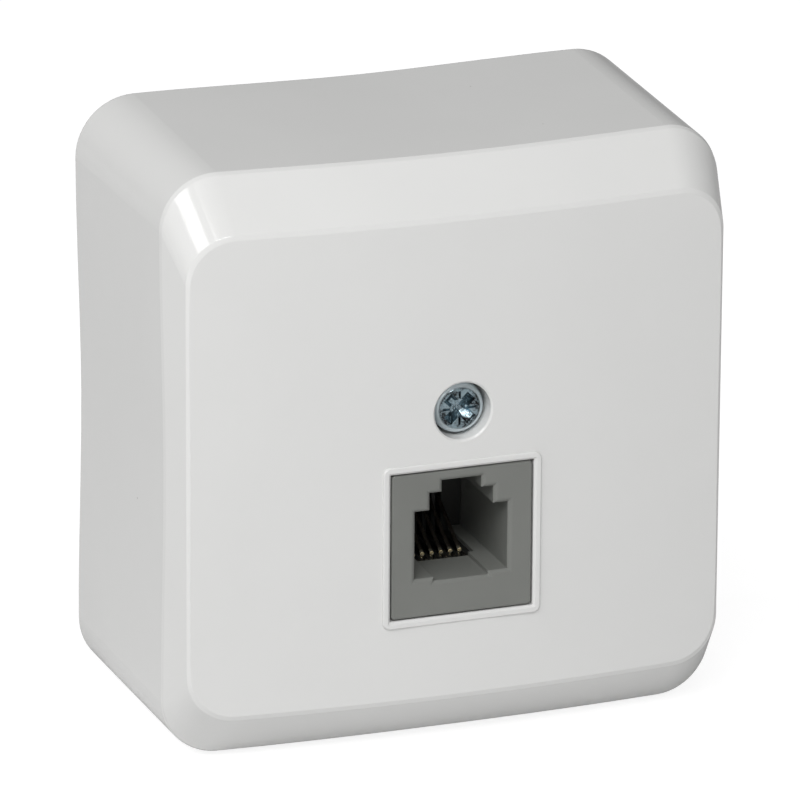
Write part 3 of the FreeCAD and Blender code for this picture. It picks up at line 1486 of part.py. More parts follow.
def check_document(parts):
    """Stop if any object failed or any piece is empty, invalid or in several solids."""
    for item in DOC.Objects:
        if "Invalid" in item.State or "Error" in item.State:
            raise RuntimeError(f"{item.Label} failed: {item.State}")
    for part in parts:
        shape = part.Shape
        if shape.isNull() or not shape.isValid():
            raise RuntimeError(f"{part.Label} has no valid shape")
        if len(shape.Solids) != 1:
            raise RuntimeError(f"{part.Label} has {len(shape.Solids)} solids")


def write_parts(parts):
    """Write each piece to its own STEP file."""
    os.makedirs("parts", exist_ok=True)
    for part in parts:
        part.Shape.exportStep(f"parts/{part.Label}.step")


def main():
    """Build, check and write the outlet."""
    parts = build_parts()
    DOC.recompute()
    check_document(parts)
    write_parts(parts)


main()
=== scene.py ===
"""Looks of the surface mount jack box: its studio, its finishes and the pieces that need more.

Units are metres in the outlet's own frame: the wall is the plane y = 0, the front faces -Y and Z
is up. Sizes written in millimetres are multiplied by MM.
"""

import json
import logging
import math
from collections.abc import Callable
from dataclasses import dataclass, field
from enum import Enum
from functools import partial

import bpy
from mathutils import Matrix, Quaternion, Vector


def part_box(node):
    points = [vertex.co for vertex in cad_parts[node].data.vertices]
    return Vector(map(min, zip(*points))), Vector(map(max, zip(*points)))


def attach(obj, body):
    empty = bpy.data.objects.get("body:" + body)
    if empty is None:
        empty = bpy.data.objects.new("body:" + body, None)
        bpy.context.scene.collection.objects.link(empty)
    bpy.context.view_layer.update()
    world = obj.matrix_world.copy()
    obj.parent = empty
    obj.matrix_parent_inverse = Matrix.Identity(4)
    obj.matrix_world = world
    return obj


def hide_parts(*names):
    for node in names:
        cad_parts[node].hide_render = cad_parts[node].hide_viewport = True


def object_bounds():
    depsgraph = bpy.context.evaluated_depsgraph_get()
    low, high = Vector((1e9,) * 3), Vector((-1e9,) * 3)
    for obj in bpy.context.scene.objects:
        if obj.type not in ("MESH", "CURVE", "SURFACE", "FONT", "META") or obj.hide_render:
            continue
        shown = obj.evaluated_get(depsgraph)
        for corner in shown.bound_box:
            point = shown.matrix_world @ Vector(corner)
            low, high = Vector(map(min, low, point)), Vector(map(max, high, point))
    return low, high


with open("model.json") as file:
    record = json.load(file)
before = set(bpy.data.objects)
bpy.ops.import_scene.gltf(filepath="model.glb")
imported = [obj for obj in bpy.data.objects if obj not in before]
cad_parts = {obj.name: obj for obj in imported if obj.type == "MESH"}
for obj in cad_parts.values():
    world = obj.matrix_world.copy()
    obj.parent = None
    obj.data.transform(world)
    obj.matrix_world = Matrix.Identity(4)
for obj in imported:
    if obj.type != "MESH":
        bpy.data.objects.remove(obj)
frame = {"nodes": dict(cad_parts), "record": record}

CAD_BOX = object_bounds()
LOG = logging.getLogger("jack_box")
BODY_OF_NODE = {
    node: body for body, nodes in frame["record"]["behaviour"]["bodies"].items() for node in nodes
}
SLOT_OF_NODE = {entry["node"]: entry["material_slot"] for entry in frame["record"]["subparts"]}

Triple = tuple[float, float, float]
Span = tuple[float, float]
Piece = bpy.types.Object
Material = bpy.types.Material
Socket = bpy.types.NodeSocket
Tree = bpy.types.NodeTree

MM = 0.001
# Points nearer to each other than this are one point.
MERGE = 0.001 * MM
# Two unit vectors point the same way where their product is above this.
SAME_WAY = 0.9
# Turn of a round primitive that lays its axis along Y.
LYING = (math.pi / 2, 0, 0)
# Nearly all the values of a noise pattern lie between these.
NOISE_SPAN = (0.3, 0.7)
WHOLE = (0.0, 1.0)
WHITE = (1.0, 1.0, 1.0, 1.0)
# Sockets of a Mix node that blends colours, where names are given twice.
MIX_SHARE, MIX_UNDER, MIX_OVER, MIX_RESULT = 0, 6, 7, 2


# --- Modelling helpers ---
def deselect_all() -> None:
    """Leave edit mode and select nothing."""
    if bpy.context.object and bpy.context.object.mode != "OBJECT":
        bpy.ops.object.mode_set(mode="OBJECT")
    bpy.ops.object.select_all(action="DESELECT")


def make_active(piece: Piece) -> None:
    """Select one piece alone and make it the active one.

    Args:
        piece: The object that the next operators work on.
    """
    deselect_all()
    piece.select_set(True)
    bpy.context.view_layer.objects.active = piece


def settle(piece: Piece) -> None:
    """Move the piece's place, turn and scale into its mesh.

    Args:
        piece: The finished object.
    """
    make_active(piece)
    bpy.ops.object.transform_apply(location=True, rotation=True, scale=True)


def edit_all(piece: Piece) -> None:
    """Open a piece in edit mode with all of it selected.

    Args:
        piece: The object to edit.
    """
    make_active(piece)
    bpy.ops.object.mode_set(mode="EDIT")
    bpy.ops.mesh.select_all(action="SELECT")


def leave_edit() -> None:
    """Go back to object mode."""
    bpy.ops.object.mode_set(mode="OBJECT")


def close_up(piece: Piece) -> None:
    """Merge a piece's doubled points and turn its faces outwards.

    Args:
        piece: The modelled object.
    """
    edit_all(piece)
    bpy.ops.mesh.remove_doubles(threshold=MERGE)
    bpy.ops.mesh.normals_make_consistent(inside=False)
    leave_edit()


def new_object(name: str, data: bpy.types.ID) -> Piece:
    """Make an object and add it to the scene.

    Args:
        name: Name of the object.
        data: What the object shows: a mesh, a lamp or a camera.

    Returns:
        The new object.
    """
    piece = bpy.data.objects.new(name, data)
    bpy.context.scene.collection.objects.link(piece)
    return piece


def smooth(piece: Piece, angle: float) -> None:
    """Shade a piece smooth up to an angle between its faces.

    Args:
        piece: The object to shade.
        angle: Largest angle that is shaded as one curved surface, in degrees.
    """
    make_active(piece)
    bpy.ops.object.shade_smooth_by_angle(angle=math.radians(angle))


def select_faces(piece: Piece, test: Callable[[Vector, Vector], bool]) -> None:
    """Select the faces whose middle and normal pass a test, in face mode.

    Args:
        piece: The object, in edit mode.
        test: A function of the face's middle and its normal.
    """
    bpy.ops.mesh.select_mode(type="FACE")
    bpy.ops.mesh.select_all(action="DESELECT")
    leave_edit()
    for face in piece.data.polygons:
        face.select = test(face.center, face.normal)
    bpy.ops.object.mode_set(mode="EDIT")


def apply_modifier(piece: Piece, kind: str, **settings: object) -> None:
    """Add a modifier to a piece, set it and apply it.

    Args:
        piece: The object that is changed.
        kind: Blender's name of the modifier's type.
        settings: The modifier's properties by name.
    """
    make_active(piece)
    modifier = piece.modifiers.new(kind.lower(), kind)
    for name, value in settings.items():
        setattr(modifier, name, value)
    bpy.ops.object.modifier_apply(modifier=modifier.name)


def cut(piece: Piece, cutter: Piece) -> None:
    """Cut one piece out of another, and remove the cutter.

    Args:
        piece: The object that is cut.
        cutter: The object that is taken away.
    """
    apply_modifier(piece, "BOOLEAN", operation="DIFFERENCE", object=cutter, solver="EXACT")
    bpy.data.objects.remove(cutter)


def dress(piece: Piece, material: Material) -> None:
    """Give a piece one material in its first slot.

    Args:
        piece: The object to dress.
        material: The finish that it gets.
    """
    piece.data.materials.clear()
    piece.data.materials.append(material)


def stand_for(piece: Piece, node: str) -> None:
    """Let a piece ride with a node's body and show in the node's place.

    Args:
        piece: The new piece.
        node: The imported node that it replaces.
    """
    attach(piece, BODY_OF_NODE[node])
    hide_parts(node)


# --- Material helpers ---
class Grain(Enum):
    """Which way a finish's fine grain runs."""

    EVEN = (1.0, 1.0, 1.0)
    ROUND = (1.0, 0.08, 1.0)


class Sum(Enum):
    """How two values are put together."""

    ADD = "ADD"
    SUBTRACT = "SUBTRACT"
    MULTIPLY = "MULTIPLY"
    POWER = "POWER"
    MAXIMUM = "MAXIMUM"


def new_material(name: str) -> tuple[Material, bpy.types.Node]:
    """Make an empty material with one Principled shader.

    Args:
        name: Name of the material.

    Returns:
        The material and its shader node.
    """
    material = bpy.data.materials.new(name)
    material.use_nodes = True
    tree = material.node_tree
    tree.nodes.clear()
    output = tree.nodes.new("ShaderNodeOutputMaterial")
    shader = tree.nodes.new("ShaderNodeBsdfPrincipled")
    tree.links.new(shader.outputs["BSDF"], output.inputs["Surface"])
    return material, shader


def feed(tree: Tree, shader: bpy.types.Node, colour: Socket, roughness: Socket, normal: Socket) -> None:
    """Link what varies over a surface to its shader.

    Args:
        tree: The material's nodes.
        shader: The material's shader.
        colour: The surface's colour.
        roughness: Its roughness.
        normal: Its normal.
    """
    sockets = {"Base Color": colour, "Roughness": roughness, "Normal": normal}
    for name, socket in sockets.items():
        tree.links.new(socket, shader.inputs[name])


def place_on_piece(tree: Tree) -> Socket:
    """The place on the piece, in metres."""
    return tree.nodes.new("ShaderNodeTexCoord").outputs["Object"]


def ramp(tree: Tree, value: Socket, low: tuple[float, Triple], high: tuple[float, Triple]) -> Socket:
    """Turn a value into a colour between two stops.

    Args:
        tree: The material's nodes.
        value: The value that runs between the stops.
        low: Place and colour of the lower stop.
        high: Place and colour of the upper stop.

    Returns:
        The colour.
    """
    node = tree.nodes.new("ShaderNodeValToRGB")
    for element, (place, colour) in zip(node.color_ramp.elements, (low, high)):
        element.position = place
        element.color = (*colour, 1.0)
    tree.links.new(value, node.inputs["Fac"])
    return node.outputs["Color"]


def remap(tree: Tree, value: Socket, source: Span, target: Span) -> Socket:
    """Map one range of values onto another, and keep to it.

    Args:
        tree: The material's nodes.
        value: The value to map.
        source: The range that the value runs through.
        target: The range that it's mapped onto.

    Returns:
        The mapped value.
    """
    node = tree.nodes.new("ShaderNodeMapRange")
    names = ("From Min", "From Max", "To Min", "To Max")
    for name, end in zip(names, (*source, *target)):
        node.inputs[name].default_value = end
    tree.links.new(value, node.inputs["Value"])
    return node.outputs["Result"]


def cover_over(tree: Tree, share: Socket, under: Socket, over: Triple) -> Socket:
    """Lay an even colour over another one by a share.

    Args:
        tree: The material's nodes.
        share: How far the upper colour covers the lower one, from 0 to 1.
        under: The lower colour.
        over: The upper colour.

    Returns:
        The blended colour.
    """
    mix = tree.nodes.new("ShaderNodeMix")
    mix.data_type = "RGBA"
    mix.inputs[MIX_OVER].default_value = (*over, 1.0)
    tree.links.new(share, mix.inputs[MIX_SHARE])
    tree.links.new(under, mix.inputs[MIX_UNDER])
    return mix.outputs[MIX_RESULT]


def switch(tree: Tree, share: Socket, off: Socket, on: Socket) -> Socket:
    """Change from one shader to another.

    Args:
        tree: The nodes of a material or the world.
        share: 0 for the first shader and 1 for the second.
        off: The first shader.
        on: The second shader.

    Returns:
        The shader that shows.
    """
    mix = tree.nodes.new("ShaderNodeMixShader")
    for index, socket in enumerate((share, off, on)):
        tree.links.new(socket, mix.inputs[index])
    return mix.outputs["Shader"]


def arithmetic(tree: Tree, operation: Sum, first: Socket | float, second: Socket | float) -> Socket:
    """Work out a share from two values.

    Args:
        tree: The material's nodes.
        operation: What is done with the two.
        first: A value or a number.
        second: A value or a number.

    Returns:
        The result, kept between 0 and 1.
    """
    node = tree.nodes.new("ShaderNodeMath")
    node.operation = operation.value
    node.use_clamp = True
    for socket, value in zip(node.inputs, (first, second)):
        if isinstance(value, Socket):
            tree.links.new(value, socket)
        else:
            socket.default_value = value
    return node.outputs["Value"]


def relief(tree: Tree, height: Socket, depth: float, edge: float) -> Socket:
    """Fine relief on edges that catch the light as rounded ones do.

    Args:
        tree: The material's nodes.
        height: Height pattern, from 0 to 1.
        depth: Height of the relief.
        edge: Radius that the edges seem to have.

    Returns:
        The normal for the shader.
    """
    rounding = tree.nodes.new("ShaderNodeBevel")
    rounding.samples = 6
    rounding.inputs["Radius"].default_value = edge
    bump = tree.nodes.new("ShaderNodeBump")
    bump.inputs["Distance"].default_value = depth
    bump.inputs["Strength"].default_value = 1.0
    tree.links.new(height, bump.inputs["Height"])
    tree.links.new(rounding.outputs["Normal"], bump.inputs["Normal"])
    return bump.outputs["Normal"]


@dataclass(frozen=True)
class Pattern:
    """A noise pattern, whose values lie around one half.

    Attributes:
        waves: Waves per metre.
        octaves: Octaves of the noise.
    """

    waves: float
    octaves: float

    def at(self, tree: Tree, vector: Socket) -> Socket:
        """The pattern at a vector.

        Args:
            tree: The material's nodes.
            vector: Where the pattern is read.

        Returns:
            The pattern's value.
        """
        node = tree.nodes.new("ShaderNodeTexNoise")
        node.inputs["Scale"].default_value = self.waves
        node.inputs["Detail"].default_value = self.octaves
        tree.links.new(vector, node.inputs["Vector"])
        return node.outputs["Fac"]

    def value(self, tree: Tree, grain: Grain = Grain.EVEN) -> Socket:
        """The pattern on a piece, which stays with the piece.

        Args:
            tree: The material's nodes.
            grain: How the pattern is stretched.

        Returns:
            The pattern's value.
        """
        stretch = tree.nodes.new("ShaderNodeMapping")
        stretch.inputs["Scale"].default_value = grain.value
        tree.links.new(place_on_piece(tree), stretch.inputs["Vector"])
        return self.at(tree, stretch.outputs["Vector"])

    def spread(self, tree: Tree, target: Span, grain: Grain = Grain.EVEN) -> Socket:
        """The pattern on a piece, mapped onto a range.

        Args:
            tree: The material's nodes.
            target: The range.
            grain: How the pattern is stretched.

        Returns:
            The mapped value.
        """
        return remap(tree, self.value(tree, grain), NOISE_SPAN, target)


# --- Finishes ---
@dataclass(frozen=True)
class MouldedPlastic:
    """Injection-moulded plastic: an even colour with a faint cloudiness, fine skin and some specks.

    Attributes:
        name: Name of the material.
        colour: Base colour.
        cloud: Share by which the colour drifts.
        roughness: Lowest and highest roughness.
        skin: Height of the moulded skin's relief.
        edge: Radius that the edges seem to have.
        specks: Radius of a speck of dust against its cell, 0 for none.
        speck_colour: Colour of the specks.
        speck_share: Share of the plastic's colour that a speck hides.
        speck_fade: Where a speck has faded out, as a multiple of its radius.
        speck_cells: Cells per metre that may hold a speck.
        drift: Pattern of the cloudiness.
        drift_span: Values of that pattern where the colour starts and stops changing.
        wear: Pattern of the roughness.
        grit: Pattern of the skin.
        ior: Index of refraction.
    """

    name: str
    colour: Triple
    cloud: float
    roughness: Span
    skin: float
    edge: float
    specks: float = 0.0
    speck_colour: Triple = (0.25, 0.24, 0.22)
    speck_share: float = 0.55
    speck_fade: float = 1.6
    speck_cells: float = 150.0
    drift: Pattern = Pattern(90.0, 3.0)
    drift_span: Span = (0.35, 0.65)
    wear: Pattern = Pattern(320.0, 4.0)
    grit: Pattern = Pattern(2600.0, 3.0)
    ior: float = 1.49

    def material(self) -> Material:
        """Build the material.

        Returns:
            The new material.
        """
        material, shader = new_material(self.name)
        tree = material.node_tree
        dark = tuple(channel * (1.0 - self.cloud) for channel in self.colour)
        start, stop = self.drift_span
        base = ramp(tree, self.drift.value(tree), (start, dark), (stop, self.colour))
        if self.specks:
            base = self.specked(tree, base)
        skin = relief(tree, self.grit.value(tree), self.skin, self.edge)
        feed(tree, shader, base, self.wear.spread(tree, self.roughness), skin)
        shader.inputs["IOR"].default_value = self.ior
        return material

    def specked(self, tree: Tree, base: Socket) -> Socket:
        """Scatter a few grey specks over a colour.

        Args:
            tree: The material's nodes.
            base: The colour under the specks.

        Returns:
            The colour with its specks.
        """
        cells = tree.nodes.new("ShaderNodeTexVoronoi")
        cells.inputs["Scale"].default_value = self.speck_cells
        tree.links.new(place_on_piece(tree), cells.inputs["Vector"])
        radii = (self.specks, self.specks * self.speck_fade)
        spots = remap(tree, cells.outputs["Distance"], radii, (self.speck_share, 0.0))
        return cover_over(tree, spots, base, self.speck_colour)


@dataclass(frozen=True)
class Metal:
    """Bare or plated metal with fine tool marks and a slightly uneven tarnish.

    Attributes:
        name: Name of the material.
        bright: Colour of the clean metal.
        dull: Colour where it has tarnished.
        roughness: Lowest and highest roughness.
        marks: Height of the tool marks.
        grain: Which way the marks run.
        tarnish: Pattern of the tarnish.
        tarnish_span: Values of that pattern where the colour starts and stops changing.
        wear: Pattern of the roughness.
        tool: Pattern of the tool marks.
        edge: Radius that the edges seem to have.
    """

    name: str
    bright: Triple
    dull: Triple
    roughness: Span
    marks: float
    grain: Grain = Grain.EVEN
    tarnish: Pattern = Pattern(700.0, 4.0)
    tarnish_span: Span = (0.35, 0.6)
    wear: Pattern = Pattern(1500.0, 3.0)
    tool: Pattern = Pattern(5200.0, 2.0)
    edge: float = 0.03 * MM

    def material(self) -> Material:
        """Build the material.

        Returns:
            The new material.
        """
        material, shader = new_material(self.name)
        tree = material.node_tree
        wear = self.wear.spread(tree, self.roughness, self.grain)
        marks = relief(tree, self.tool.value(tree, self.grain), self.marks, self.edge)
        feed(tree, shader, self.colour(tree), wear, marks)
        shader.inputs["Metallic"].default_value = 1.0
        return material

    def colour(self, tree: Tree) -> Socket:
        """Clean metal with patches of tarnish.

        Args:
            tree: The material's nodes.

        Returns:
            The colour.
        """
        start, stop = self.tarnish_span
        return ramp(tree, self.tarnish.value(tree), (start, self.dull), (stop, self.bright))


@dataclass(frozen=True)
class PlatedWire(Metal):
    """Bronze spring wire, gold-plated round its front bend, where the plug's contact presses; behind
    the plating it is coloured far darker than bronze, as painted shade.

    Attributes:
        front: Where the wire's bend begins, along Y.
        plated: How far back the plating reaches.
        fade: Length over which it gives way to the bare wire.
        rubbed: Pattern of the plating's wear.
        rubbed_share: Least and most that is worn off.
    """

    front: float = 0.0
    plated: float = 1.3 * MM
    fade: float = 0.3 * MM
    rubbed: Pattern = Pattern(2500.0, 3.0)
    rubbed_share: Span = (0.0, 0.12)

    def colour(self, tree: Tree) -> Socket:
        """The plating's colour in front, and behind it the bare wire's, darkened as painted shade.

        Args:
            tree: The material's nodes.

        Returns:
            The colour.
        """
        parts = tree.nodes.new("ShaderNodeSeparateXYZ")
        tree.links.new(place_on_piece(tree), parts.inputs["Vector"])
        end = self.front + self.plated
        # Behind the plating the wire gets a dark colour: painted shade for the arms deep in the jack.
        bare = remap(tree, parts.outputs["Y"], (end, end + self.fade), WHOLE)
        share = arithmetic(tree, Sum.ADD, bare, self.rubbed.spread(tree, self.rubbed_share))
        return ramp(tree, share, (0.0, self.bright), (1.0, self.dull))


@dataclass(frozen=True)
class PressedHead:
    """Zinc-plated screw head: a pale dome round a burred flat and recess, darkened and blotched with
    painted shade.

    Attributes:
        name: Name of the material.
        box: Lowest and highest corners of the screw.
        flat: Radius of the burred flat.
        rim: Width over which the flat gives way to the dome.
        dome: Colour of the dome and the shank.
        pressed: Colour of the flat and the recess, darker than the dome's as painted shade.
        painted_shade: Colour of the painted shade's dark blotches on the flat.
        roughness: Roughness of the flat and of the dome.
        burr: Height of the burrs.
        edge: Radius that the edges seem to have.
        blotches: Pattern of the painted shade's patches.
        blotch_span: Range of their strength.
        blotch_power: How sharply they stand out.
        grains: Pattern of the grains that break up the painted shade.
        grain_span: Range of their strength.
        ridges: Pattern of the ridges round the recess.
        dents: Pattern of the dents that break them.
    """

    name: str
    box: tuple[Triple, Triple]
    flat: float = 2.1 * MM
    rim: float = 0.2 * MM
    dome: Triple = (0.76, 0.84, 0.88)
    # The flat and the recess are coloured darker than the dome as painted shade.
    pressed: Triple = (0.36, 0.46, 0.51)
    # Near-black painted shade, laid in blotches over the flat.
    painted_shade: Triple = (0.02, 0.018, 0.018)
    roughness: Span = (0.16, 0.36)
    burr: float = 0.09 * MM
    edge: float = 0.05 * MM
    blotches: Pattern = Pattern(620.0, 3.0)
    blotch_span: Span = (0.0, 1.6)
    blotch_power: float = 3.0
    grains: Pattern = Pattern(5200.0, 2.0)
    grain_span: Span = (0.2, 1.5)
    ridges: Pattern = Pattern(7.0, 2.0)
    dents: Pattern = Pattern(3800.0, 2.0)

    def material(self) -> Material:
        """Build the material.

        Returns:
            The new material.
        """
        material, shader = new_material(self.name)
        tree = material.node_tree
        spoke = self.from_axis(tree)
        outside = self.outside(tree, spoke)
        inside = arithmetic(tree, Sum.SUBTRACT, 1.0, outside)
        plating = ramp(tree, outside, (0.0, self.pressed), (1.0, self.dome))
        # Painted shade: dark blotches on the flat, none on the dome.
        painted_shade_share = arithmetic(tree, Sum.MULTIPLY, self.painted_shade_patches(tree), inside)
        height = arithmetic(tree, Sum.MULTIPLY, self.burrs(tree, spoke), inside)
        feed(
            tree,
            shader,
            cover_over(tree, painted_shade_share, plating, self.painted_shade),
            remap(tree, outside, WHOLE, self.roughness),
            relief(tree, height, self.burr, self.edge),
        )
        shader.inputs["Metallic"].default_value = 1.0
        return material

    def from_axis(self, tree: Tree) -> Socket:
        """The vector from the screw's axis, across it.

        Args:
            tree: The material's nodes.

        Returns:
            The vector.
        """
        low, high = self.box
        centre = (-(low[0] + high[0]) / 2, 0, -(low[2] + high[2]) / 2)
        centred = tree.nodes.new("ShaderNodeMapping")
        centred.inputs["Location"].default_value = centre
        centred.inputs["Scale"].default_value = (1, 0, 1)
        tree.links.new(place_on_piece(tree), centred.inputs["Vector"])
        return centred.outputs["Vector"]

    def outside(self, tree: Tree, spoke: Socket) -> Socket:
        """0 on the flat and 1 past its edge.

        Args:
            tree: The material's nodes.
            spoke: The vector from the axis.

        Returns:
            The share.
        """
        length = tree.nodes.new("ShaderNodeVectorMath")
        length.operation = "LENGTH"
        tree.links.new(spoke, length.inputs[0])
        return remap(tree, length.outputs["Value"], (self.flat, self.flat + self.rim), WHOLE)

    def painted_shade_patches(self, tree: Tree) -> Socket:
        """Patches of painted shade, broken into grains.

        Args:
            tree: The material's nodes.

        Returns:
            The share of the surface that gets the painted shade.
        """
        blotches = self.blotches.spread(tree, self.blotch_span)
        sharp = arithmetic(tree, Sum.POWER, blotches, self.blotch_power)
        return arithmetic(tree, Sum.MULTIPLY, sharp, self.grains.spread(tree, self.grain_span))

    def burrs(self, tree: Tree, spoke: Socket) -> Socket:
        """Ridges that run out from the recess, broken by fine dents.

        Args:
            tree: The material's nodes.
            spoke: The vector from the axis.

        Returns:
            The height.
        """
        direction = tree.nodes.new("ShaderNodeVectorMath")
        direction.operation = "NORMALIZE"
        tree.links.new(spoke, direction.inputs[0])
        ridges = self.ridges.at(tree, direction.outputs["Vector"])
        return arithmetic(tree, Sum.ADD, ridges, self.dents.value(tree))


@dataclass(frozen=True)
class BoardLacquer:
    """Green solder lacquer over glass weave.

    Attributes:
        name: Name of the material.
        colour: Colour of the lacquer.
        weave: Scale of the glass weave.
        thread: Height of its threads.
        edge: Radius that the edges seem to have.
        thick: Brightness of the lacquer where it lies thick.
        flow: Pattern in which it lies.
        roughness: Roughness of the lacquer.
    """

    name: str
    colour: Triple
    weave: float
    thread: float = 0.01 * MM
    edge: float = 0.1 * MM
    thick: float = 0.6
    flow: Pattern = Pattern(500.0, 4.0)
    roughness: float = 0.3

    def material(self) -> Material:
        """Build the material.

        Returns:
            The new material.
        """
        material, shader = new_material(self.name)
        tree = material.node_tree
        heights = []
        for direction in ("X", "Z"):
            threads = tree.nodes.new("ShaderNodeTexWave")
            threads.bands_direction = direction
            threads.inputs["Scale"].default_value = self.weave
            tree.links.new(place_on_piece(tree), threads.inputs["Vector"])
            heights.append(threads.outputs["Fac"])
        deep = tuple(channel * self.thick for channel in self.colour)
        start, stop = NOISE_SPAN
        base = ramp(tree, self.flow.value(tree), (start, deep), (stop, self.colour))
        tree.links.new(base, shader.inputs["Base Color"])
        cloth = arithmetic(tree, Sum.MULTIPLY, *heights)
        tree.links.new(relief(tree, cloth, self.thread, self.edge), shader.inputs["Normal"])
        shader.inputs["Roughness"].default_value = self.roughness
        return material


class Finishes:
    """Every finish of the outlet, made once and shared."""

    KINDS = (
        MouldedPlastic(
            "cover_white", (0.80, 0.80, 0.79), 0.012, (0.07, 0.12), 0.0008 * MM, 0.16 * MM, 0.013
        ),
        MouldedPlastic("base_white", (0.74, 0.74, 0.72), 0.02, (0.42, 0.55), 0.006 * MM, 0.2 * MM),
        MouldedPlastic("jack_grey", (0.208, 0.214, 0.2), 0.06, (0.28, 0.4), 0.005 * MM, 0.1 * MM),
        # The comb is coloured near-black, far darker than its grey plastic, as painted shade for the
        # cavity's dark back.
        MouldedPlastic("comb_grey", (0.016, 0.017, 0.015), 0.06, (0.4, 0.5), 0.005 * MM, 0.08 * MM),
        MouldedPlastic("block_grey", (0.30, 0.31, 0.30), 0.04, (0.4, 0.5), 0.006 * MM, 0.15 * MM),
        Metal("contact_gold", (0.96, 0.87, 0.62), (0.84, 0.70, 0.42), (0.10, 0.2), 0.0005 * MM),
        Metal(
            "screw_zinc", (0.66, 0.72, 0.78), (0.40, 0.47, 0.53), (0.10, 0.26), 0.006 * MM, Grain.ROUND
        ),
        Metal("spring_steel", (0.45, 0.46, 0.48), (0.3, 0.31, 0.33), (0.3, 0.45), 0.004 * MM),
        Metal("insert_brass", (0.78, 0.60, 0.28), (0.6, 0.44, 0.18), (0.25, 0.4), 0.004 * MM),
        Metal("terminal_tin", (0.72, 0.73, 0.74), (0.52, 0.53, 0.55), (0.25, 0.45), 0.004 * MM),
        BoardLacquer("board_green", (0.03, 0.17, 0.08), 120.0),
    )

    def __init__(self) -> None:
        """Build every material by its record slot's name, and the two that only one piece has."""
        self.by_slot = {kind.name: kind.material() for kind in self.KINDS}
        # The bare wire's colour is far darker than bronze: painted shade for the arms deep in the jack.
        plated = PlatedWire(
            "contact_wire_plated", (0.98, 0.91, 0.72), (0.22, 0.19, 0.16), (0.3, 0.42), 0.0005 * MM,
            front=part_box("contact_wire_1")[0][1],
        )
        self.plated_wire = plated.material()
        self.worn_head = PressedHead("cover_screw_zinc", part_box("cover_screw")).material()

    def of_node(self, node: str) -> Material:
        """The finish that the record gives a node."""
        return self.by_slot[SLOT_OF_NODE[node]]


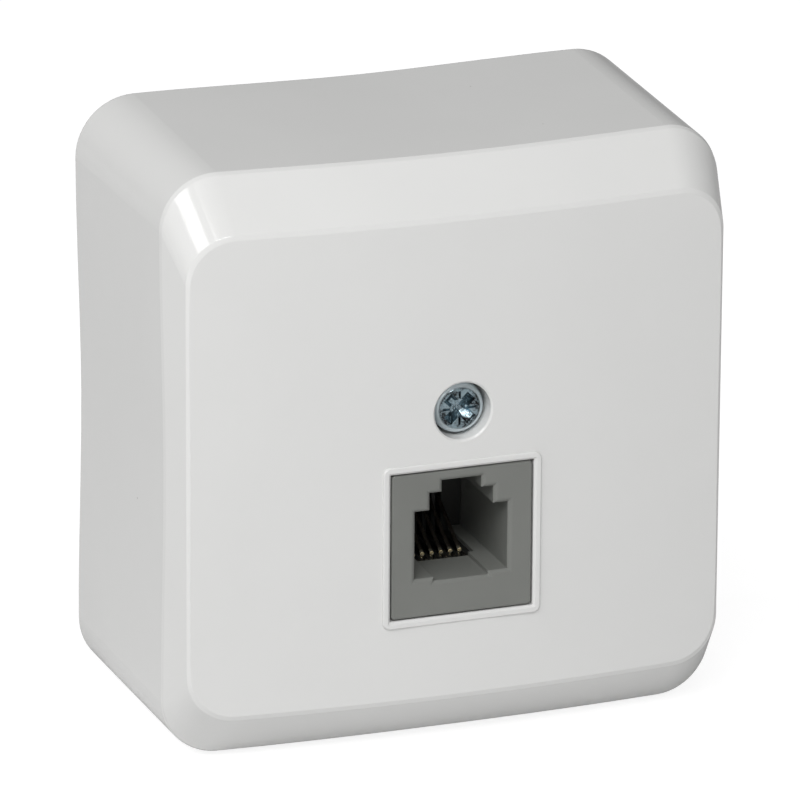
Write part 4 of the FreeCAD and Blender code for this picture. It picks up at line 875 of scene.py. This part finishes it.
# --- Pieces ---
@dataclass
class CoverScrew:
    """Pan head screw with a pressed cross recess and a rolled thread.

    Attributes:
        head_height: Seat to the top of the head.
        dome_height: Height of the head's rounded part.
        dome_steps: Steps in which the dome rises.
        flat_radius: Radius of the flat on top of the head.
        cross_width: Width of the recess's arms.
        cross_reach: Centre to the end of an arm.
        cross_depth: Depth of the recess.
        cross_taper: Size of the recess's floor against its mouth.
        turn: Turn of the recess about the axis, in degrees.
        tick_width: Width of the four ticks between the arms.
        tick_depth: Depth of the ticks.
        lip: Width of the soft edges round the recess.
        pitch: Pitch of the thread.
        thread_depth: Crest to root of the thread.
        crest: Radius of the thread's crest.
        foot: How far the ridge's foot stands inside the shank.
        half_ridge: Half the width of the ridge's foot, against the pitch.
        thread_gaps: Seat to the first turn, and last turn to the tip.
        tip_bevel: Width of the bevel at the shank's ends.
        facets: Facets round the head, round the shank and round one turn of the thread.
        smooth_angles: Largest angles shaded as one surface, on the head and the thread, in degrees.
        bevel_angles: Least angles that are bevelled, on the head and the shank, in degrees.
        axis: A point on the axis, in the wall plane.
        radius: Radius of the head.
        top: Top of the head, along Y.
        tip: Tip of the screw, along Y.
    """

    head_height: float = 2.4 * MM
    dome_height: float = 0.75 * MM
    dome_steps: int = 6
    flat_radius: float = 2.05 * MM
    cross_width: float = 1.15 * MM
    cross_reach: float = 1.8 * MM
    cross_depth: float = 1.35 * MM
    cross_taper: float = 0.45
    turn: float = 45.0
    tick_width: float = 0.24 * MM
    tick_depth: float = 0.5 * MM
    lip: float = 0.05 * MM
    pitch: float = 0.5 * MM
    thread_depth: float = 0.3 * MM
    crest: float = 1.5 * MM
    foot: float = 0.05 * MM
    half_ridge: float = 0.42
    thread_gaps: Span = (0.6 * MM, 0.5 * MM)
    tip_bevel: float = 0.25 * MM
    facets: tuple[int, int, int] = (72, 40, 24)
    smooth_angles: Span = (40.0, 30.0)
    bevel_angles: Span = (35.0, 60.0)
    axis: Vector = field(init=False)
    radius: float = field(init=False)
    top: float = field(init=False)
    tip: float = field(init=False)

    def __post_init__(self) -> None:
        """Take the screw's place and reach from its node."""
        low, high = (Vector(corner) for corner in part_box("cover_screw"))
        self.axis = Vector(((low.x + high.x) / 2, 0.0, (low.z + high.z) / 2))
        self.radius = (high.x - low.x) / 2
        self.top = low.y
        self.tip = high.y

    def build(self, finishes: Finishes) -> Piece:
        """Model the screw in the place of its node.

        Args:
            finishes: The outlet's finishes.

        Returns:
            The finished screw.
        """
        screw = self.head()
        self.cut_cross(screw)
        smooth(screw, self.smooth_angles[0])
        shank = self.shank()
        make_active(screw)
        shank.select_set(True)
        bpy.ops.object.join()
        edit_all(screw)
        # Each end of the thread's ridge is an open triangle.
        bpy.ops.mesh.fill_holes(sides=3)
        leave_edit()
        screw.name = "cover_screw_detail"
        dress(screw, finishes.worn_head)
        settle(screw)
        stand_for(screw, "cover_screw")
        return screw

    def on_axis(self, along: float) -> Vector:
        """A point on the screw's axis, at a place along Y."""
        return self.axis + Vector((0, along, 0))

    def head(self) -> Piece:
        """Raise the domed head from a cylinder by insetting its top.

        Returns:
            The head, still without its recess.
        """
        deselect_all()
        rim_height = self.head_height - self.dome_height
        seat = self.top + self.head_height
        bpy.ops.mesh.primitive_cylinder_add(
            vertices=self.facets[0],
            radius=self.radius,
            depth=rim_height,
            location=self.on_axis(seat - rim_height / 2),
            rotation=LYING,
        )
        head = bpy.context.object
        settle(head)
        edit_all(head)
        front = seat - rim_height + MERGE
        select_faces(head, lambda middle, normal: normal.y < -SAME_WAY and middle.y < front)
        for step in range(self.dome_steps):
            start = math.pi / 2 * step / self.dome_steps
            end = math.pi / 2 * (step + 1) / self.dome_steps
            inset = (self.radius - self.flat_radius) * (math.cos(start) - math.cos(end))
            rise = self.dome_height * (math.sin(end) - math.sin(start))
            bpy.ops.mesh.inset(thickness=inset, depth=0)
            bpy.ops.transform.translate(value=(0, -rise, 0))
        leave_edit()
        return head

    def cut_cross(self, head: Piece) -> None:
        """Press the cross recess and its ticks into the head.

        Args:
            head: The domed head.
        """
        deselect_all()
        over = 0.3 * MM
        bpy.ops.mesh.primitive_cube_add(size=self.cross_width, location=self.on_axis(self.top))
        cutter = bpy.context.object
        cutter.scale.y = 2 * over / self.cross_width
        settle(cutter)
        edit_all(cutter)
        arm = self.cross_reach - self.cross_width / 2
        for x, z in ((1, 0), (-1, 0), (0, 1), (0, -1)):
            direction = Vector((x, 0, z))
            select_faces(cutter, partial(self.is_side, direction))
            bpy.ops.mesh.extrude_region_move(
                TRANSFORM_OT_translate={"value": tuple(direction * arm)}
            )
        floor = self.top + over - MERGE
        select_faces(cutter, lambda middle, normal: normal.y > SAME_WAY and middle.y > floor)
        bpy.ops.mesh.extrude_region_move(
            TRANSFORM_OT_translate={"value": (0, self.cross_depth - over, 0)}
        )
        bpy.ops.transform.resize(
            value=(self.cross_taper, 1.0, self.cross_taper),
            center_override=tuple(self.on_axis(self.top + self.cross_depth)),
        )
        bpy.ops.mesh.select_all(action="SELECT")
        bpy.ops.mesh.normals_make_consistent(inside=False)
        bpy.ops.transform.rotate(
            value=math.radians(self.turn), orient_axis="Y", center_override=tuple(self.axis)
        )
        leave_edit()
        cut(head, cutter)
        for turn in (0, 90):
            self.cut_tick(head, turn)
        apply_modifier(
            head, "BEVEL", width=self.lip, segments=2, limit_method="ANGLE",
            angle_limit=math.radians(self.bevel_angles[0]), use_clamp_overlap=True,
        )

    def is_side(self, direction: Vector, middle: Vector, normal: Vector) -> bool:
        """Whether a face is the cutter's own side in one direction, and no arm's side.

        Args:
            direction: The way that the side faces.
            middle: The face's middle.
            normal: The face's normal.

        Returns:
            True for that side.
        """
        out = middle - self.axis
        faces_there = normal.dot(direction) > SAME_WAY
        lies_there = abs(out.dot(direction) - self.cross_width / 2) < self.cross_width / 10
        return faces_there and lies_there and abs(out.cross(direction).y) < self.cross_width / 3

    def cut_tick(self, head: Piece, turn: float) -> None:
        """Press one pair of the ticks that stand between the recess's arms.

        Args:
            head: The head with its cross recess.
            turn: Turn of the pair about the axis, in degrees.
        """
        deselect_all()
        bpy.ops.mesh.primitive_cube_add(
            size=1.0, location=self.on_axis(self.top), rotation=(0, math.radians(turn), 0)
        )
        cutter = bpy.context.object
        cutter.scale = (2 * self.cross_reach, 2 * self.tick_depth, self.tick_width)
        settle(cutter)
        cut(head, cutter)

    def shank(self) -> Piece:
        """Make the shank and put its thread round it.

        Returns:
            The shank with its thread.
        """
        deselect_all()
        seat = self.top + self.head_height
        root = self.crest - self.thread_depth
        bpy.ops.mesh.primitive_cylinder_add(
            vertices=self.facets[1],
            radius=root,
            depth=self.tip - seat,
            location=self.on_axis((seat + self.tip) / 2),
            rotation=LYING,
        )
        shank = bpy.context.object
        apply_modifier(
            shank, "BEVEL", width=self.tip_bevel, segments=2, limit_method="ANGLE",
            angle_limit=math.radians(self.bevel_angles[1]),
        )
        settle(shank)
        first_gap, last_gap = self.thread_gaps
        thread = self.thread(seat + first_gap, self.tip - last_gap, root - self.foot)
        make_active(shank)
        thread.select_set(True)
        bpy.ops.object.join()
        return shank

    def thread(self, start: float, end: float, foot: float) -> Piece:
        """Turn the outline of one ridge of the thread along the shank.

        Args:
            start: Where the thread begins, along Y.
            end: Where it ends, along Y.
            foot: Radius at the ridge's foot.

        Returns:
            The helical ridge.
        """
        deselect_all()
        half = self.pitch * self.half_ridge
        bpy.ops.mesh.primitive_circle_add(
            vertices=3, radius=self.crest, fill_type="NGON", location=(0, 0, 0)
        )
        ridge = bpy.context.object
        outline = ((foot, -half), (self.crest, 0.0), (foot, half))
        for vertex, (out, along) in zip(ridge.data.vertices, outline):
            vertex.co = (out, 0.0, along)
        turns = (end - start) / self.pitch
        steps = int(self.facets[2] * turns)
        apply_modifier(
            ridge, "SCREW", axis="Z", angle=2 * math.pi * turns, screw_offset=end - start,
            steps=steps, render_steps=steps, use_normal_calculate=True,
        )
        ridge.rotation_euler = (-math.pi / 2, 0, 0)
        ridge.location = self.on_axis(start)
        settle(ridge)
        close_up(ridge)
        smooth(ridge, self.smooth_angles[1])
        return ridge


@dataclass
class JackHousing:
    """The jack's housing, with the soft edges that a mould leaves on its front.

    Attributes:
        edge: Width of the soft edges round the front and the plug's opening.
        segments: Facets across a soft edge.
        flat_angle: Faces that meet within this angle are one flat face, in degrees.
        smooth_angle: Largest angle that is shaded as one curved surface, in degrees.
        front_depth: How far behind the front an edge may lie and still bound it.
    """

    edge: float = 0.22 * MM
    segments: int = 3
    flat_angle: float = 1.0
    smooth_angle: float = 12.0
    front_depth: float = 0.005 * MM

    def build(self, finishes: Finishes) -> Piece:
        """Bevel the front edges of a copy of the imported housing.

        Args:
            finishes: The outlet's finishes.

        Returns:
            The finished housing.
        """
        packed = frame["nodes"]["jack_housing"]
        housing = new_object("jack_housing_moulded", packed.data.copy())
        make_active(housing)
        bpy.ops.mesh.customdata_custom_splitnormals_clear()
        edit_all(housing)
        bpy.ops.mesh.remove_doubles(threshold=MERGE)
        bpy.ops.mesh.dissolve_limited(angle_limit=math.radians(self.flat_angle))
        self.select_front_edges(housing)
        bpy.ops.mesh.bevel(
            offset=self.edge, segments=self.segments, affect="EDGES", clamp_overlap=True
        )
        leave_edit()
        smooth(housing, self.smooth_angle)
        dress(housing, finishes.by_slot["jack_grey"])
        stand_for(housing, "jack_housing")
        return housing

    def select_front_edges(self, housing: Piece) -> None:
        """Select the edges that bound the front face.

        Args:
            housing: The merged copy, in edit mode.
        """
        bpy.ops.mesh.select_mode(type="EDGE")
        bpy.ops.mesh.select_all(action="DESELECT")
        leave_edit()
        mesh = housing.data
        front = min(vertex.co.y for vertex in mesh.vertices) + self.front_depth
        for edge in mesh.edges:
            edge.select = all(mesh.vertices[end].co.y < front for end in edge.vertices)
        bpy.ops.object.mode_set(mode="EDIT")


@dataclass
class ContactWires:
    """Six round spring wires with a tight bend behind the jack's floor.

    Attributes:
        count: How many wires there are.
        thickness: Height of the wire's section.
        bend: Radius of the bend, to the wire's centreline.
        slope: Rise of the spring arm, in degrees.
        facets: Facets round the wire.
        bend_steps: Steps along the bend.
        smooth_angle: Largest angle that is shaded as one curved surface, in degrees.
    """

    count: int = 6
    thickness: float = 0.36 * MM
    bend: float = 0.6 * MM
    slope: float = 28.0
    facets: int = 16
    bend_steps: int = 14
    smooth_angle: float = 40.0

    def build(self, finishes: Finishes) -> list[Piece]:
        """Model the first wire and copy it to the other places.

        Args:
            finishes: The outlet's finishes.

        Returns:
            The six wires.
        """
        first = self.wire()
        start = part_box("contact_wire_1")[0][0]
        wires = [first]
        for _ in range(1, self.count):
            wires.append(new_object(first.name, first.data.copy()))
        for number, wire in enumerate(wires, start=1):
            node = f"contact_wire_{number}"
            wire.name = f"{node}_round"
            wire.location.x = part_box(node)[0][0] - start
            settle(wire)
            dress(wire, finishes.plated_wire)
            stand_for(wire, node)
        return wires

    def wire(self) -> Piece:
        """Extrude and spin a round section along the first wire's path.

        Returns:
            The wire in the place of the first node.
        """
        low, high = (Vector(corner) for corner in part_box("contact_wire_1"))
        radius = (high.x - low.x) / 2
        across = (low.x + high.x) / 2
        run_height = low.z + self.thickness / 2
        bend_place = low.y + self.thickness / 2 + self.bend
        deselect_all()
        bpy.ops.mesh.primitive_circle_add(
            vertices=self.facets, radius=radius, fill_type="NGON", rotation=LYING,
            location=(across, high.y, run_height),
        )
        wire = bpy.context.object
        wire.scale.y = self.thickness / (2 * radius)
        settle(wire)
        edit_all(wire)
        bpy.ops.mesh.extrude_region_move(
            TRANSFORM_OT_translate={"value": (0, bend_place - high.y, 0)}
        )
        slope = math.radians(self.slope)
        bpy.ops.mesh.spin(
            steps=self.bend_steps,
            angle=math.pi - slope,
            center=(across, bend_place, run_height + self.bend),
            axis=(-1, 0, 0),
        )
        arm_foot = run_height + self.bend * (1 + math.cos(slope))
        rise = high.z - self.thickness / 2 * math.cos(slope) - arm_foot
        bpy.ops.mesh.extrude_region_move(
            TRANSFORM_OT_translate={"value": (0, rise / math.tan(slope), rise)}
        )
        close_up(wire)
        smooth(wire, self.smooth_angle)
        return wire


# --- Studio ---
@dataclass(frozen=True)
class Lamp:
    """A soft lamp that points at the outlet.

    Attributes:
        name: Name of the lamp.
        towards: Direction from the outlet to the lamp.
        size: Width and height of the lamp.
        power: Power of the lamp, in watts.
        distance: Outlet to the lamp.
    """

    name: str
    towards: Triple
    size: Span
    power: float
    distance: float = 0.9

    def hang(self, target: Vector) -> None:
        """Put the lamp in its place.

        Args:
            target: The point that the lamp points at.
        """
        data = bpy.data.lights.new(self.name, "AREA")
        data.shape = "RECTANGLE"
        data.size, data.size_y = self.size
        data.energy = self.power
        lamp = new_object(self.name, data)
        direction = Vector(self.towards).normalized()
        lamp.location = target + direction * self.distance
        lamp.rotation_euler = (-direction).to_track_quat("-Z", "Y").to_euler()


@dataclass(frozen=True)
class FloorPaint:
    """Plain pale paint that the camera sees as white, with the outlet's shadow on it.

    Attributes:
        name: Name of the material.
        pale: Brightness of the paint to every ray but the camera's.
        roughness: Roughness of the paint.
        glow: Even part of what the camera sees.
        shade: Brightness of the part that takes the shadow.
    """

    name: str = "floor_white"
    pale: float = 0.8
    roughness: float = 0.9
    glow: float = 0.86
    shade: float = 0.32

    def material(self) -> Material:
        """Build the material.

        Returns:
            The new material.
        """
        material, shader = new_material(self.name)
        tree = material.node_tree
        shader.inputs["Base Color"].default_value = (self.pale, self.pale, self.pale, 1.0)
        shader.inputs["Roughness"].default_value = self.roughness
        glow = tree.nodes.new("ShaderNodeEmission")
        glow.inputs["Strength"].default_value = self.glow
        paint = tree.nodes.new("ShaderNodeBsdfDiffuse")
        paint.inputs["Color"].default_value = (self.shade, self.shade, self.shade, 1.0)
        both = tree.nodes.new("ShaderNodeAddShader")
        tree.links.new(glow.outputs["Emission"], both.inputs[0])
        tree.links.new(paint.outputs["BSDF"], both.inputs[1])
        seen = tree.nodes.new("ShaderNodeLightPath").outputs["Is Camera Ray"]
        surface = switch(tree, seen, shader.outputs["BSDF"], both.outputs["Shader"])
        tree.links.new(surface, tree.nodes["Material Output"].inputs["Surface"])
        return material


@dataclass
class Studio:
    """Plain pale floor, soft light and the camera.

    Attributes:
        azimuth: Camera's turn about the outlet, in degrees, 0 straight in front.
        elevation: Camera's height above the horizon, in degrees.
        roll: Camera's turn about its own line of sight, in degrees.
        distance: Camera to the point that it looks at.
        target: The point that it looks at.
        lens: Focal length on a 36 mm sensor, in millimetres.
        fill: Strength of the even light from all round.
        floor_size: Width of the floor.
        lamps: The soft lamps.
    """

    azimuth: float = -20.0
    elevation: float = 19.36
    roll: float = 0.34
    distance: float = 0.8676
    target: Triple = (-1.24 * MM, -17.79 * MM, 1.41 * MM)
    lens: float = 378.4
    fill: float = 0.20
    floor_size: float = 6.0
    lamps: tuple[Lamp, ...] = (
        Lamp("side_lamp", (-0.684, -0.274, 0.676), (0.85, 0.27), 3.5),
        Lamp("front_lamp", (-0.207, -0.648, 0.732), (0.4, 0.4), 3.3),
        Lamp("low_lamp", (-0.25, -0.94, 0.24), (0.12, 0.12), 0.4),
    )

    def build(self) -> None:
        """Set up the floor, the world, the lamps and the camera."""
        self.floor()
        self.world()
        for lamp in self.lamps:
            lamp.hang(Vector(self.target))
        self.camera()
        bpy.context.scene.view_settings.view_transform = "Standard"

    def floor(self) -> None:
        """Lay a wide pale floor under the outlet."""
        deselect_all()
        height = CAD_BOX[0][2]
        bpy.ops.mesh.primitive_plane_add(size=self.floor_size, location=(0, 0, height))
        floor = bpy.context.object
        floor.name = "studio_floor"
        dress(floor, FloorPaint().material())

    def world(self) -> None:
        """Even light from all round, which the camera sees as white, also through clear things."""
        world = bpy.data.worlds.new("studio_world")
        bpy.context.scene.world = world
        world.use_nodes = True
        tree = world.node_tree
        tree.nodes.clear()
        output = tree.nodes.new("ShaderNodeOutputWorld")
        lights = []
        for strength in (self.fill, 1.0):
            light = tree.nodes.new("ShaderNodeBackground")
            light.inputs["Color"].default_value = WHITE
            light.inputs["Strength"].default_value = strength
            lights.append(light.outputs["Background"])
        path = tree.nodes.new("ShaderNodeLightPath")
        seen = arithmetic(
            tree, Sum.MAXIMUM, path.outputs["Is Camera Ray"], path.outputs["Is Transmission Ray"]
        )
        tree.links.new(switch(tree, seen, *lights), output.inputs["Surface"])

    def camera(self) -> None:
        """Place the camera and make it the scene's."""
        turn, rise = math.radians(self.azimuth), math.radians(self.elevation)
        back = Vector(
            (math.sin(turn) * math.cos(rise), -math.cos(turn) * math.cos(rise), math.sin(rise))
        )
        data = bpy.data.cameras.new("camera")
        data.lens = self.lens
        camera = new_object("camera", data)
        camera.location = Vector(self.target) + back * self.distance
        level = (-back).to_track_quat("-Z", "Y")
        tilt = Quaternion((0, 0, 1), math.radians(self.roll))
        camera.rotation_euler = (level @ tilt).to_euler()
        bpy.context.scene.camera = camera


def dress_nodes(finishes: Finishes) -> None:
    """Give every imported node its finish.

    Args:
        finishes: The outlet's finishes.
    """
    for name, node in frame["nodes"].items():
        material = finishes.of_node(name)
        for slot in node.material_slots:
            slot.material = material


def main() -> None:
    """Build the studio, the finishes and the pieces in order."""
    logging.basicConfig(level=logging.INFO)
    Studio().build()
    finishes = Finishes()
    dress_nodes(finishes)
    LOG.info("dressed %d nodes", len(frame["nodes"]))
    screw = CoverScrew().build(finishes)
    LOG.info("cover screw: %d faces", len(screw.data.polygons))
    housing = JackHousing().build(finishes)
    LOG.info("jack housing: %d faces", len(housing.data.polygons))
    for wire in ContactWires().build(finishes):
        LOG.info("%s: %d faces", wire.name, len(wire.data.polygons))


if __name__ == "__main__":
    main()
